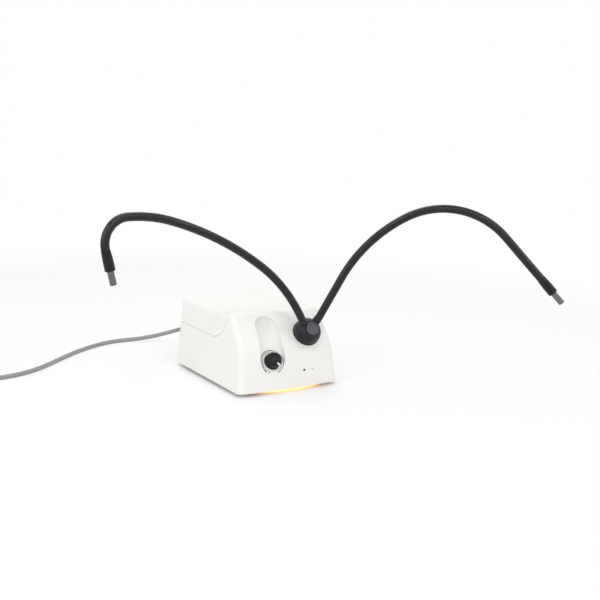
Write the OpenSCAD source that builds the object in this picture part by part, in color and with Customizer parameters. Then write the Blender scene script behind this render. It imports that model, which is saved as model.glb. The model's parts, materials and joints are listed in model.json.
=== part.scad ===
// Fibre optic illuminator: a halogen light source with a two-arm gooseneck guide.
// Origin: centre of the footprint on the table. Front faces -Y, +Z is up. Millimetres.

/* [Housing] */
// Width of the housing at its foot
body_w = 150; // [130:1:180]
// Height of the housing's top above the table
body_h = 104; // [98:1:125]
// Rear face of the housing at its foot
rear_y = 107; // [100:1:130]
// Wall thickness of the mouldings
wall = 3; // [2.4:0.1:3.6]
// Gap between the table and the housing
foot_h = 5; // [4:0.5:8]
// Radius of the moulded outer edges
edge_r = 9; // [7:0.5:12]
// How far each side leans in by the top
side_lean = 8.6; // [4:0.2:12]
// How far the rear leans in by the top
rear_lean = 8; // [4:0.5:12]
// Forward bow of the front face
front_bow = 3.5; // [0:0.5:6]
// Rise of the top at the middle
top_crown = 1.5; // [0:0.5:3]

/* [Lamp cover] */
// Height of the parting line on the sides
seam_z = 66; // [62:1:70]
// Radius of the parting line where it sweeps up
seam_r = 45; // [38:1:50]
// Gap along the parting line
seam_gap = 0.5; // [0.3:0.1:0.8]
// Radius of the hinge pins
pin_r = 1.5; // [1.2:0.1:1.8]

/* [Knob] */
// Knob diameter
knob_d = 23; // [18:0.5:28]
// Knob height
knob_h = 9; // [7:0.5:14]
// Backward tilt of the channel floor and of the knob
knob_tilt = 33; // [28:1:38]
// Distance of the knob from the middle, to the left
knob_x = -24; // [-32:1:-20]

/* [Light guide] */
// Distance of the light port from the middle, to the right
port_x = 30; // [24:1:34]
// Diameter of the adapter ring and of the head's foot
head_d = 38; // [34:0.5:42]
// Diameter of the guide's ferrule
ferrule_d = 20; // [16:0.5:22]
// Depth of the ferrule in the port
ferrule_l = 34; // [30:1:36]
// Diameter of the gooseneck hoses
hose_d = 10.7; // [9:0.1:13]
// Clearance between a hose's ball end and the next cup
ball_gap = 0.3; // [0.2:0.05:0.5]

/* [Rear fittings] */
// Height of the rear fittings' centre line
fit_z = 38; // [36:1:42]
// Distance of the power inlet from the middle
inlet_x = 4; // [0:1:8]
// Size of the square fan
fan_w = 40; // [36:1:42]
// Mains cord diameter
cord_d = 6.5; // [6:0.1:7.5]

/* [Hidden] */
$fn = 64;

white = "#ece9e0";
black = "#1d1d1f";
steel = "#b9bcc0";
eps = 0.05;

// ---- the housing's outer form -------------------------------------------------

// Front profile, as [y, z]: a near-upright line, a large knee, a sloping line.
low_tilt = 6;
slope_tilt = 38.5;
knee_r = 60;
knee_c = [-46.7, 38.8];
slope_p = [-85.9, 86];

function side_x(z) = body_w / 2 - side_lean * (z - foot_h) / (body_h - foot_h);
function rear_at(z) = rear_y - rear_lean * (z - foot_h) / (body_h - foot_h);
function slope_y(z) = slope_p[0] + (z - slope_p[1]) * tan(slope_tilt);
function low_y(z) = knee_c[0] - knee_r * cos(low_tilt)
    + (z - knee_c[1] - knee_r * sin(low_tilt)) * tan(low_tilt);
function bow_y(f) = front_bow * f * f;
function crown_z(f) = top_crown * (1 - f * f);

columns = [-1, -0.5, 0, 0.5, 1];
knee_steps = [6, 14, 22.25, 30.5, 38.5];

// The form set in by i from the outer surface. The foot of an inner form is open.
module body_form(i = 0) {
    r = edge_r;
    foot_z = i > 0 ? foot_h - 1 : foot_h;
    top_z = body_h - top_crown - r;
    hull() {
        for (f = columns) {
            translate([f * (side_x(foot_z) - r), low_y(foot_z) + r + bow_y(f), foot_z])
                cylinder(r = r - i, h = eps, $fn = 32);
            for (a = knee_steps)
                translate([
                    f * (side_x(knee_c[1] + knee_r * sin(a)) - r),
                    knee_c[0] - (knee_r - r) * cos(a) + bow_y(f),
                    knee_c[1] + (knee_r - r) * sin(a),
                ]) sphere(r = r - i, $fn = 32);
            translate([
                f * (side_x(top_z) - r),
                slope_y(top_z) + r / cos(slope_tilt) + bow_y(f),
                top_z + crown_z(f),
            ]) sphere(r = r - i, $fn = 32);
            translate([f * (side_x(top_z) - r), rear_at(top_z) - r, top_z + crown_z(f)])
                sphere(r = r - i, $fn = 32);
        }
        for (s = [-1, 1])
            translate([s * (side_x(foot_z) - r), rear_at(foot_z) - r, foot_z])
                cylinder(r = r - i, h = eps, $fn = 32);
    }
}

// Extrudes an outline drawn in [y, z] along X, from x0 to x1.
module across(x0, x1) {
    translate([x0, 0, 0]) rotate([90, 0, 90]) linear_extrude(x1 - x0) children();
}

// ---- the parting line between shell and cover ----------------------------------

sweep_c = [-15.5, seam_z + seam_r];
sweep_end = 22;
hook_r = 10;
hook_c = sweep_c + (seam_r - hook_r) * [-cos(sweep_end), -sin(sweep_end)];
hinge_r = 3;
hinge_c = [rear_at(seam_z) - hinge_r, seam_z + hinge_r + seam_gap / 2];

// The cover's side of the parting line, in [y, z], moved in by g.
module cover_outline(g) {
    translate([sweep_c[0], seam_z + g]) square([rear_y - sweep_c[0] + 20, body_h]);
    intersection() {
        translate(sweep_c) circle(seam_r - g, $fn = 128);
        translate([sweep_c[0] - seam_r, seam_z]) square([seam_r, sweep_c[1] - seam_r * sin(sweep_end) - seam_z]);
    }
    translate(hook_c) circle(hook_r - g);
    translate([hook_c[0], hook_c[1] - hook_r / 2]) square([rear_y, body_h]);
}

// The shell's brow, seen from above: the cover's top edge runs behind it. Grown by g.
brow_x = side_x(body_h) - 2.5;
brow_y = -35;
brow_r = 20;

module brow(g) {
    translate([0, 0, seam_z + seam_r / 2])
        linear_extrude(body_h) {
            translate([-brow_x - g, -200]) square([2 * (brow_x + g), 200 + brow_y - brow_r]);
            translate([brow_r - brow_x, -200]) square([2 * (brow_x - brow_r), 200 + brow_y + g]);
            for (s = [-1, 1]) translate([s * (brow_x - brow_r), brow_y - brow_r]) circle(brow_r + g);
        }
}

// The space on the cover's side of the parting line.
module cover_space(g) {
    difference() {
        across(-body_w, body_w) cover_outline(g);
        brow(g);
    }
}

// The round lower rear edge, about the hinge axis, lets the cover swing back.
module swing_edge() {
    difference() {
        translate([hinge_c[0], seam_z - 10]) square([30, hinge_c[1] - seam_z + 10]);
        translate(hinge_c) circle(hinge_r);
    }
}

ear_x = 50;
ear_w = 5;
ear_gap = 0.4;

module housing_shell() {
    color(white) {
        difference() {
            body_form();
            body_form(wall);
            cover_space(-seam_gap / 2);
            thumb_channel();
            knob_hole();
            led_frame() translate([0, 0, -wall - 6]) cylinder(d = led_d + 0.2, h = 20);
            port_frame() {
                translate([0, 0, -pad_l]) cylinder(d = pad_d - 1, h = pad_l + 20);
                translate([0, 0, -pad_l - flange_t - 0.3]) cylinder(d = flange_d + 0.6, h = flange_t + 1);
            }
            panel_cut();
        }
        inner_parts();
        port_pad();
        hinge_ears();
    }
}

// What is moulded on the inside: the channel's back and the screw bosses.
module inner_parts() {
    difference() {
        intersection() {
            union() {
                difference() {
                    knob_frame() channel_tool(channel_wall);
                    translate([-200, -200, -50]) cube([400, 400, 50 + foot_h + 12]);
                }
                base_bosses();
                panel_block(2, 2, -panel_t - panel_ledge, 20);
            }
            body_form(1);
        }
        thumb_channel();
        panel_cut();
        for (p = panel_holes)
            translate([p[0], panel_y, p[1]]) rotate([90, 0, 0]) cylinder(d = screw_d - 0.4, h = 20);
        knob_hole();
        cover_space(-seam_gap / 2);
        for (p = boss_at) translate([p[0], p[1], foot_h]) cylinder(d = screw_d - 0.4, h = 20);
    }
}

// Flat round pad that the guide adapter seats on.
module port_pad() {
    port_frame()
        translate([0, 0, -pad_l])
            difference() {
                cylinder(d = pad_d, h = pad_l);
                translate([0, 0, -1]) cylinder(d = collar_d + 0.2, h = pad_l + 2);
            }
}

module hinge_ears() {
    for (s = [-1, 1])
        translate([s * ear_x - ear_w / 2, 0, 0])
            difference() {
                across(0, ear_w) {
                    translate(hinge_c) circle(hinge_r);
                    translate([hinge_c[0] - hinge_r, seam_z - 4]) square([hinge_r * 1.2, 4 + hinge_r]);
                }
                across(-1, ear_w + 1) translate(hinge_c) circle(pin_r + 0.02);
            }
}

front_boss = [body_w / 2 - 17, -84];
rear_boss = [body_w / 2 - 13, rear_y - 37];
boss_at = [for (b = [front_boss, rear_boss], s = [-1, 1]) [s * b[0], b[1]]];
boss_top = 30;

module base_bosses() {
    for (p = boss_at)
        translate([p[0], p[1], foot_h + plate_t]) {
            cylinder(d = 9, h = boss_top - foot_h - plate_t);
            translate([p[0] > 0 ? 0 : -20, -1, 0]) cube([20, 2, boss_top - foot_h - plate_t]);
        }
}

// ---- thumb channel above the knob ----------------------------------------------

floor_p = [-111, 29];
knob_up = 16;
knob_p = floor_p + knob_up * [sin(knob_tilt), cos(knob_tilt)];
channel_r = 15;
channel_foot_r = 18;
channel_l = 62;
channel_edge = 5;
channel_wall = 2.4;

// Frame on the channel floor: z out of the floor, y up the floor.
module knob_frame() {
    translate([knob_x, knob_p[0], knob_p[1]]) rotate([90 - knob_tilt, 0, 0]) children();
}

module soft_disc(r, h) {
    rotate_extrude($fn = 32)
        difference() {
            square([r, h]);
            translate([r - channel_edge, 0]) difference() {
                square([channel_edge + 1, channel_edge]);
                translate([0, channel_edge]) circle(channel_edge, $fn = 24);
            }
        }
}

module channel_tool(grow = 0) {
    hull() {
        translate([0, channel_l - channel_r, -grow]) soft_disc(channel_r + grow, 40);
        translate([0, -2, -grow]) soft_disc(channel_foot_r + grow, 40);
        translate([0, -40, -grow]) soft_disc(channel_foot_r + grow, 40);
    }
}

module thumb_channel() {
    knob_frame() channel_tool();
}

// Hole in the channel floor for the potentiometer's bush.
module knob_hole() {
    knob_frame() translate([0, 0, -wall - 12]) cylinder(d = bush_d + 0.4, h = 30);
}

// ---- lamp cover -----------------------------------------------------------------

cover_bead = 58;

module lamp_cover() {
    color(white)
        difference() {
            union() {
                difference() {
                    body_form();
                    body_form(wall);
                }
                intersection() {
                    across(-cover_bead, cover_bead) translate(hinge_c) circle(hinge_r);
                    body_form();
                }
            }
            difference() {
                translate([-200, -200, -50]) cube([400, 400, 250]);
                difference() {
                    cover_space(seam_gap / 2);
                    across(-body_w, body_w) swing_edge();
                }
            }
            across(-body_w, body_w) translate(hinge_c) circle(pin_r + 0.05);
            for (s = [-1, 1])
                translate([s * ear_x - ear_w / 2 - ear_gap, 0, 0])
                    across(0, ear_w + 2 * ear_gap) {
                        translate(hinge_c) circle(hinge_r + ear_gap);
                        translate([hinge_c[0] - hinge_r - 6, seam_z - 4]) square([hinge_r + 6, 4 + hinge_r + 1]);
                    }
        }
}

module hinge_pins() {
    color(steel)
        for (s = [-1, 1])
            translate([s * ear_x - 9, 0, 0])
                across(0, 18) translate(hinge_c) circle(pin_r);
}

// ---- base ------------------------------------------------------------------------

plate_t = 3;
plate_gap = 0.3;
screw_d = 3.4;
foot_d = 14;
vent_n = 8;

module base_plate() {
    color("#cfccc3")
        difference() {
            intersection() {
                body_form(wall + plate_gap);
                translate([-100, -150, foot_h]) cube([200, 300, plate_t]);
            }
            for (p = boss_at) translate([p[0], p[1], 0]) cylinder(d = screw_d + 0.4, h = 20);
            // vents under the lamp, near the front
            for (k = [0:vent_n - 1])
                translate([-8 + k * 8, -96, 0]) slot(4, 34, 20);
            // vents under the transformer
            for (k = [0:vent_n - 1])
                translate([-44 + k * 8, 60, 0]) slot(4, 22, 20);
        }
}

// A slot with round ends along Y, from y = 0.
module slot(w, l, h) {
    translate([-w / 2, w / 2, 0]) cube([w, l - w, h]);
    for (y = [w / 2, l - w / 2]) translate([0, y, 0]) cylinder(d = w, h = h);
}

module feet() {
    color("#2a2a2c")
        for (p = boss_at)
            translate([p[0], p[1], 0])
                difference() {
                    rotate_extrude() polygon([
                        [0, 0], [foot_d / 2 - 1, 0], [foot_d / 2, 1], [foot_d / 2, foot_h], [0, foot_h],
                    ]);
                    translate([0, 0, -1]) cylinder(d = 7, h = 3.6);
                    translate([0, 0, -1]) cylinder(d = screw_d + 0.2, h = 20);
                }
}

module base_screws() {
    color(steel)
        for (p = boss_at)
            translate([p[0], p[1], 0]) {
                translate([0, 0, 0.8]) difference() {
                    cylinder(d = 6.2, h = 1.8);
                    translate([-2.4, -0.4, -1]) cube([4.8, 0.8, 1.8]);
                    translate([-0.4, -2.4, -1]) cube([0.8, 4.8, 1.8]);
                }
                translate([0, 0, 2]) cylinder(d = screw_d - 0.42, h = foot_h + plate_t + 10);
            }
}

// ---- rear panel -------------------------------------------------------------------

panel_w = 128;
panel_z0 = 14.5;
panel_h = 47;
panel_t = 2;
panel_y = rear_at(panel_z0 + panel_h) - 4;
panel_ledge = 3;
panel_side = 6;
panel_rim = 2.5;
panel_gap = 0.2;
fan_x = 38;
switch_x = -36;

// A block about the panel's place, wider by grow_x and taller by grow_z, from y0 to y1.
module panel_block(grow_x, grow_z, y0, y1) {
    translate([-panel_w / 2 - grow_x, panel_y + y0, panel_z0 - grow_z])
        cube([panel_w + 2 * grow_x, y1 - y0, panel_h + 2 * grow_z]);
}

// The pocket that the panel is dropped into from behind, and the opening in its floor.
module panel_cut() {
    panel_block(panel_gap, panel_gap, -panel_t, 40);
    panel_block(-panel_side, -panel_rim, -40, 40);
}

module rear_panel() {
    color("#8d9094")
        translate([0, panel_y, 0])
            difference() {
                translate([-panel_w / 2, -panel_t, panel_z0]) cube([panel_w, panel_t, panel_h]);
                translate([inlet_x - inlet_w / 2 - 0.1, -10, fit_z - inlet_low - 0.1])
                    cube([inlet_w + 0.2, 20, inlet_low + inlet_up + 0.2]);
                translate([switch_x - switch_w / 2 - 0.1, -10, fit_z - switch_h / 2 - 0.1])
                    cube([switch_w + 0.2, 20, switch_h + 0.2]);
                // fan grille
                intersection() {
                    for (k = [-3:3])
                        translate([fan_x - fan_w / 2, -panel_t - 1, fit_z + k * 5 - 1.25]) cube([fan_w, 4, 2.5]);
                    translate([fan_x, 1, fit_z]) rotate([90, 0, 0]) cylinder(d = fan_w - 5, h = 8);
                }
                for (p = concat(fan_holes, panel_holes))
                    translate([p[0], 1, p[1]]) rotate([90, 0, 0]) cylinder(d = screw_d, h = 8);
            }
}

fan_pitch = fan_w / 2 - 4;
fan_holes = [for (a = [-1, 1], b = [-1, 1]) [fan_x + a * fan_pitch, fit_z + b * fan_pitch]];
panel_holes = [for (a = [-1, 1]) [a * (panel_w / 2 - panel_side / 2), panel_z0 + 8]];

// A pan-head screw whose head sits on the plane y = 0 and whose shank runs to -Y.
module rear_screw(l) {
    rotate([-90, 0, 0])
        difference() {
            union() {
                cylinder(d1 = 5.6, d2 = 4, h = 1.8);
                translate([0, 0, -l]) cylinder(d = screw_d - 0.4, h = l);
            }
            translate([-1.8, -0.4, 1]) cube([3.6, 0.8, 2]);
            translate([-0.4, -1.8, 1]) cube([0.8, 3.6, 2]);
        }
}

module panel_screws() {
    color(steel)
        for (p = panel_holes) translate([p[0], panel_y, p[1]]) rear_screw(8);
}

// ---- power inlet, fuse drawer and switch -----------------------------------------

inlet_w = 27;
inlet_low = 18.5;
inlet_up = 13;
inlet_deep = 22;
inlet_rim = 1.5;
nose_w = 24;
nose_h = 16;
nose_l = 15;
nose_gap = 0.3;
plug_z = fit_z + 2;
drawer_w = 20;
drawer_h = 7;
drawer_l = 17;
drawer_z = fit_z - 13;
pin_at = [[-7, -1.5], [7, -1.5], [0, 2.5]];

module power_inlet() {
    color(black)
        translate([inlet_x, panel_y, 0])
            difference() {
                union() {
                    translate([-inlet_w / 2, -inlet_deep, fit_z - inlet_low])
                        cube([inlet_w, inlet_deep, inlet_low + inlet_up]);
                    translate([-inlet_w / 2 - inlet_rim, 0, fit_z - inlet_low - inlet_rim])
                        cube([inlet_w + 2 * inlet_rim, 2, inlet_low + inlet_up + 2 * inlet_rim]);
                }
                translate([-nose_w / 2 - nose_gap, 2 - nose_l - 1, plug_z - nose_h / 2 - nose_gap])
                    cube([nose_w + 2 * nose_gap, nose_l + 2, nose_h + 2 * nose_gap]);
                translate([-drawer_w / 2 - 0.3, 2 - drawer_l - 0.5, drawer_z - drawer_h / 2 - 0.3])
                    cube([drawer_w + 0.6, drawer_l + 2, drawer_h + 0.6]);
            }
    color(steel)
        translate([inlet_x, panel_y, 0])
            for (p = pin_at)
                translate([p[0] - 1, 2 - nose_l - 2, plug_z + p[1] - 2]) cube([2, nose_l - 1, 4]);
}

module fuse_drawer() {
    color("#2b2b2d")
        translate([inlet_x, panel_y, 0])
            difference() {
                union() {
                    translate([-drawer_w / 2, 2 - drawer_l, drawer_z - drawer_h / 2])
                        cube([drawer_w, drawer_l, drawer_h]);
                    translate([-drawer_w / 2 - 1, 2.3, drawer_z - drawer_h / 2 - 1])
                        cube([drawer_w + 2, 1.4, drawer_h + 2]);
                    translate([-drawer_w / 2, 1.9, drawer_z - drawer_h / 2])
                        cube([drawer_w, 0.6, drawer_h]);
                }
                // tray for the fuse, and a finger notch
                translate([-drawer_w / 2 + 2, 2 - drawer_l + 1.5, drawer_z - 1.5])
                    cube([drawer_w - 4, drawer_l - 4, drawer_h]);
                translate([-4, 3.1, drawer_z - drawer_h / 2 - 2]) cube([8, 1, 3]);
            }
}

switch_w = 13;
switch_h = 19;
switch_deep = 16;
window_w = 9.5;
window_h = 15.6;
rocker_w = 9;
rocker_pin_r = 1;
rocker_lean = 10;
rocker_y = panel_y - 2;

module switch_body() {
    color(black)
        difference() {
            translate([switch_x, panel_y, fit_z]) {
                translate([-switch_w / 2, -switch_deep, -switch_h / 2]) cube([switch_w, switch_deep, switch_h]);
                translate([-switch_w / 2 - 1, 0, -switch_h / 2 - 1]) cube([switch_w + 2, 2, switch_h + 2]);
            }
            translate([switch_x - window_w / 2, panel_y - 8, fit_z - window_h / 2])
                cube([window_w, 20, window_h]);
            across(switch_x - window_w / 2 - 1.3, switch_x + window_w / 2 + 1.3)
                translate([rocker_y, fit_z]) circle(rocker_pin_r + 0.05);
        }
}

module switch_rocker() {
    color("#141415") {
        across(switch_x - rocker_w / 2, switch_x + rocker_w / 2)
            translate([rocker_y, fit_z]) rotate(rocker_lean)
                polygon([[-3, -7], [4.6, -7], [3.2, 0], [4.6, 7], [-3, 7]]);
        across(switch_x - rocker_w / 2 - 1, switch_x + rocker_w / 2 + 1)
            translate([rocker_y, fit_z]) circle(rocker_pin_r);
    }
}

// ---- fan ---------------------------------------------------------------------------

fan_t = 15;
fan_y = panel_y - panel_t;
hub_r = 9;
blades = 7;
blade_pitch = 35;

module fan_frame() {
    color("#202022")
        translate([fan_x, fan_y, fit_z]) rotate([90, 0, 0])
            difference() {
                translate([-fan_w / 2, -fan_w / 2, 0]) cube([fan_w, fan_w, fan_t]);
                translate([0, 0, -1]) cylinder(r = fan_w / 2 - 1.5, h = fan_t - 1.5);
                translate([0, 0, -1]) difference() {
                    cylinder(r = fan_w / 2 - 1.5, h = fan_t + 2);
                    cylinder(r = hub_r + 1, h = fan_t + 2);
                    for (k = [0:3])
                        rotate(45 + k * 90) translate([0, -1.5, 0]) cube([fan_w, 3, fan_t + 2]);
                }
                for (a = [-1, 1], b = [-1, 1])
                    translate([a * fan_pitch, b * fan_pitch, -1]) cylinder(d = screw_d - 0.4, h = fan_t + 2);
            }
    color(steel)
        translate([fan_x, fan_y, fit_z]) rotate([90, 0, 0])
            translate([0, 0, 3]) cylinder(r = 1.2, h = fan_t - 4.5);
}

module fan_impeller() {
    color("#2c2c2f")
        translate([fan_x, fan_y, fit_z]) rotate([90, 0, 0])
            difference() {
                union() {
                    translate([0, 0, 1.5]) cylinder(r = hub_r, h = fan_t - 4.5);
                    intersection() {
                        for (k = [0:blades - 1])
                            rotate(k * 360 / blades) translate([hub_r - 1, 0, 7])
                                rotate([blade_pitch, 0, 0])
                                    translate([0, -6, -0.5]) cube([fan_w / 2, 12, 1]);
                        translate([0, 0, 2]) cylinder(r = fan_w / 2 - 2.3, h = fan_t - 5.5);
                    }
                }
                translate([0, 0, 2.9]) cylinder(r = 1.25, h = fan_t);
            }
}

module fan_screws() {
    color(steel)
        for (p = fan_holes) translate([p[0], panel_y, p[1]]) rear_screw(10);
}

// ---- transformer --------------------------------------------------------------------

floor_z = foot_h + plate_t;
core_p = [-28, 28];
core_w = 57;
core_h = 48;
core_d = 26;
leg = 9.5;
coil_gap = 0.4;
strap = 1.2;

module transformer_core() {
    color("#5c6066")
        translate([core_p[0], core_p[1], floor_z])
            difference() {
                translate([-core_w / 2, -core_d / 2, 0]) cube([core_w, core_d, core_h]);
                for (s = [-1, 1])
                    translate([s * (core_w / 4 + leg / 4) - leg * 0.75, -core_d, leg])
                        cube([leg * 1.5, 2 * core_d, core_h - 2 * leg]);
            }
}

module transformer_winding() {
    half = core_w / 2 - leg - coil_gap;
    color("#b8864a")
        translate([core_p[0], core_p[1], floor_z + leg + coil_gap])
            difference() {
                linear_extrude(core_h - 2 * leg - 2 * coil_gap)
                    round_box(2 * half, core_d + 2 * half - 2 * leg, 8);
                translate([-leg - coil_gap, -core_d / 2 - coil_gap, -1])
                    cube([2 * (leg + coil_gap), core_d + 2 * coil_gap, core_h]);
            }
}

// A centred rectangle with round corners.
module round_box(w, l, r) {
    square([w - 2 * r, l], center = true);
    square([w, l - 2 * r], center = true);
    for (a = [-1, 1], b = [-1, 1]) translate([a * (w / 2 - r), b * (l / 2 - r)]) circle(r);
}

module transformer_clamp() {
    color(steel)
        translate([core_p[0], core_p[1], floor_z])
            difference() {
                union() {
                    translate([-core_w / 2 - strap, -5, 0]) cube([core_w + 2 * strap, 10, core_h + strap]);
                    translate([-core_w / 2 - 9, -5, 0]) cube([core_w + 18, 10, strap]);
                }
                translate([-core_w / 2, -10, -1]) cube([core_w, 20, core_h + 1]);
                for (s = [-1, 1]) translate([s * (core_w / 2 + 5), 0, -1]) cylinder(d = 3.4, h = 4);
            }
}

// ---- control board ------------------------------------------------------------------

board_p = [-64, -66];
board_w = 54;
board_l = 58;
board_z = 17;
board_t = 1.6;
post_in = 4;

module control_board() {
    color("#2f6b3f")
        translate([board_p[0], board_p[1], board_z])
            difference() {
                cube([board_w, board_l, board_t]);
                for (p = board_posts) translate([p[0], p[1], -1]) cylinder(d = 3.2, h = 4);
            }
}

board_posts = [for (x = [post_in, board_w - post_in], y = [post_in, board_l - post_in]) [x, y]];

module heat_sink() {
    color("#a9adb2")
        translate([board_p[0] + 34, board_p[1] + 10, board_z + board_t]) {
            cube([3, 34, 24]);
            for (k = [0:5]) translate([3 - eps, k * 6.5, 0]) cube([9, 1.5, 24]);
        }
}

module board_parts() {
    color("#3a3a3e")
        translate([board_p[0], board_p[1], board_z + board_t]) {
            translate([12, 14, 0]) cylinder(d = 12, h = 20);
            translate([12, 30, 0]) cylinder(d = 10, h = 16);
            translate([24, 12, 0]) cube([8, 14, 10]);
            translate([23, 34, 0]) cube([9, 12, 12]);
            translate([8, 44, 0]) cube([22, 8, 10]);
        }
    color("#d8d4c6")
        for (p = board_posts)
            translate([board_p[0] + p[0], board_p[1] + p[1], 0]) {
                translate([0, 0, floor_z]) cylinder(d = 6, h = board_z - floor_z);
                translate([0, 0, board_z - 0.1]) cylinder(d = 3, h = board_t + 0.1);
                translate([0, 0, board_z + board_t]) cylinder(d = 5.4, h = 1.2);
            }
}

// ---- potentiometer and knob ------------------------------------------------------------

bush_d = 9;
shaft_d = 6;
nut_t = 2;
pot_l = 12;
pot_neck = 2.5;

module potentiometer() {
    color("#7d8187")
        knob_frame()
            difference() {
                union() {
                    translate([0, 0, -channel_wall - pot_l]) cylinder(d = 16, h = pot_l - pot_neck);
                    translate([0, 0, -channel_wall - pot_neck - eps]) cylinder(d = 11, h = pot_neck + eps);
                    translate([0, 0, -channel_wall - eps]) cylinder(d = bush_d, h = channel_wall + 3.2);
                    translate([-6, -15, -channel_wall - pot_l + 1]) cube([12, 10, 1.2]);
                }
                translate([0, 0, -channel_wall - 7]) cylinder(d = shaft_d + 0.1, h = 30);
            }
}

module pot_nut() {
    color(steel)
        knob_frame()
            difference() {
                cylinder(d = 13, h = nut_t, $fn = 6);
                translate([0, 0, -1]) cylinder(d = bush_d + 0.1, h = 10);
            }
}

module pot_shaft() {
    color(steel)
        knob_frame() translate([0, 0, -channel_wall - 5.8]) cylinder(d = shaft_d, h = channel_wall + 5.8 + knob_h - 1.5);
}

flutes = 24;
knob_lift = 0.6;

module intensity_knob() {
    color(black)
        knob_frame() translate([0, 0, knob_lift])
            difference() {
                rotate_extrude($fn = 96) difference() {
                    polygon([
                        [0, 0], [knob_d / 2 - 0.4, 0], [knob_d / 2, 0.4], [knob_d / 2, 2],
                        [knob_d / 2 - 1, 2.6], [knob_d / 2 - 1.4, knob_h - 1], [knob_d / 2 - 2.4, knob_h],
                        [knob_d / 2 - 4, knob_h], [knob_d / 2 - 5, knob_h - 0.6], [0, knob_h - 0.6],
                    ]);
                    square([7.4, nut_t + 1]);
                    square([shaft_d / 2 + 0.02, knob_h - 1.8]);
                }
                for (k = [0:flutes - 1])
                    rotate(k * 360 / flutes) translate([knob_d / 2 - 0.7, 0, 2.8]) cylinder(r = 0.7, h = knob_h);
            }
}

// ---- front indicator -------------------------------------------------------------------

led_d = 3;
led_x = 22;
led_z = 27;

module led_frame() {
    translate([led_x, low_y(led_z) + bow_y(led_x / (body_w / 2)), led_z]) rotate([90 - low_tilt, 0, 0]) children();
}

module power_led() {
    color("#3a4034")
        led_frame() {
            translate([0, 0, -wall - 3]) cylinder(d = led_d, h = wall + 3.2);
            translate([0, 0, -wall - 3]) cylinder(d = led_d + 1.4, h = 2);
        }
}

// ---- light port -------------------------------------------------------------------------

// Frame on the guide's axis: z out of the housing, y up the slope.
port_p = [-97, 74];
pad_d = head_d - 1.5;
pad_l = 9;
collar_d = ferrule_d + 10;
sleeve_d = ferrule_d + 5;
collar_l = 30;
flange_d = collar_d + 4;
flange_t = 2.5;
ring_t = 4;
seat_gap = 0.3;
run_gap = 0.05;

module port_frame() {
    translate([port_x, port_p[0], port_p[1]]) rotate([90 - slope_tilt, 0, 0]) children();
}

module ring(d, bore, z0, z1) {
    translate([0, 0, z0])
        difference() {
            cylinder(d = d, h = z1 - z0);
            translate([0, 0, -1]) cylinder(d = bore, h = z1 - z0 + 2);
        }
}

module port_collar() {
    color("#a7abb0")
        port_frame() {
            ring(collar_d, sleeve_d, -collar_l, 0);
            ring(flange_d, collar_d - 1, -pad_l - flange_t, -pad_l);
        }
}

module guide_adapter() {
    color("#26272a")
        port_frame()
            difference() {
                union() {
                    ring(sleeve_d - 2 * run_gap, ferrule_d + 2 * run_gap, -collar_l + 2, ring_t);
                    translate([0, 0, seat_gap]) rotate_extrude($fn = 96) difference() {
                        polygon([
                            [0, 0], [head_d / 2 - 0.6, 0], [head_d / 2, 0.6], [head_d / 2, ring_t - 1.1],
                            [head_d / 2 - 0.8, ring_t - seat_gap], [0, ring_t - seat_gap],
                        ]);
                        square([ferrule_d / 2 + run_gap, 2 * ring_t]);
                    }
                }
                translate([0, 0, (ring_t + seat_gap) / 2]) rotate([90, 0, 25]) cylinder(d = 2.6, h = head_d);
            }
}

module adapter_screw() {
    color(steel)
        port_frame()
            translate([0, 0, (ring_t + seat_gap) / 2]) rotate([90, 0, 25])
                translate([0, 0, ferrule_d / 2 + 0.2])
                    difference() {
                        cylinder(d = 2.5, h = head_d / 2 - ferrule_d / 2 - 0.6);
                        translate([0, 0, 4]) cylinder(d = 1.3, h = 10, $fn = 6);
                    }
}

filter_d = 28;
filter_t = 3;
filter_z = -37;

module heat_filter() {
    color("#9fd0d8", 0.5)
        port_frame() translate([0, 0, filter_z - filter_t]) cylinder(d = filter_d, h = filter_t);
}

module filter_holder() {
    color("#a7abb0")
        port_frame() {
            ring(filter_d + 5, filter_d + 0.1, filter_z - filter_t, -collar_l - 3);
            ring(filter_d + 5, sleeve_d, -collar_l - 3, -collar_l);
            ring(filter_d + 5, filter_d - 4, filter_z - filter_t - 1.5, filter_z - filter_t);
        }
}

lamp_d = 50;
rim_z = -48;
rim_t = 2;
lamp_l = 36;
glass_t = 1.6;
capsule_d = 9;
capsule_z = 16;
bracket_t = 1.5;
bracket_half = 27;

// Radius of the reflector at depth u behind its rim.
function bowl_r(u) = (lamp_d / 2 - 2) * sqrt(1 - u / (lamp_l + 2));

module lamp_bracket() {
    u = [cos(90 - slope_tilt), sin(90 - slope_tilt)];
    n = [-u[1], u[0]];
    low = port_p - bracket_half * u + rim_z * n;
    color("#b4b8bc")
        difference() {
            across(port_x - bracket_half, port_x + bracket_half) {
                translate(port_p) rotate(90 - slope_tilt)
                    translate([-bracket_half, rim_z]) square([2 * bracket_half, bracket_t]);
                translate([low[0], floor_z]) square([bracket_t, low[1] - floor_z + 0.6]);
                translate([low[0], floor_z]) square([14, bracket_t]);
            }
            port_frame() translate([0, 0, rim_z - 5]) cylinder(d = lamp_d - 4, h = 20);
        }
}

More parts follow.
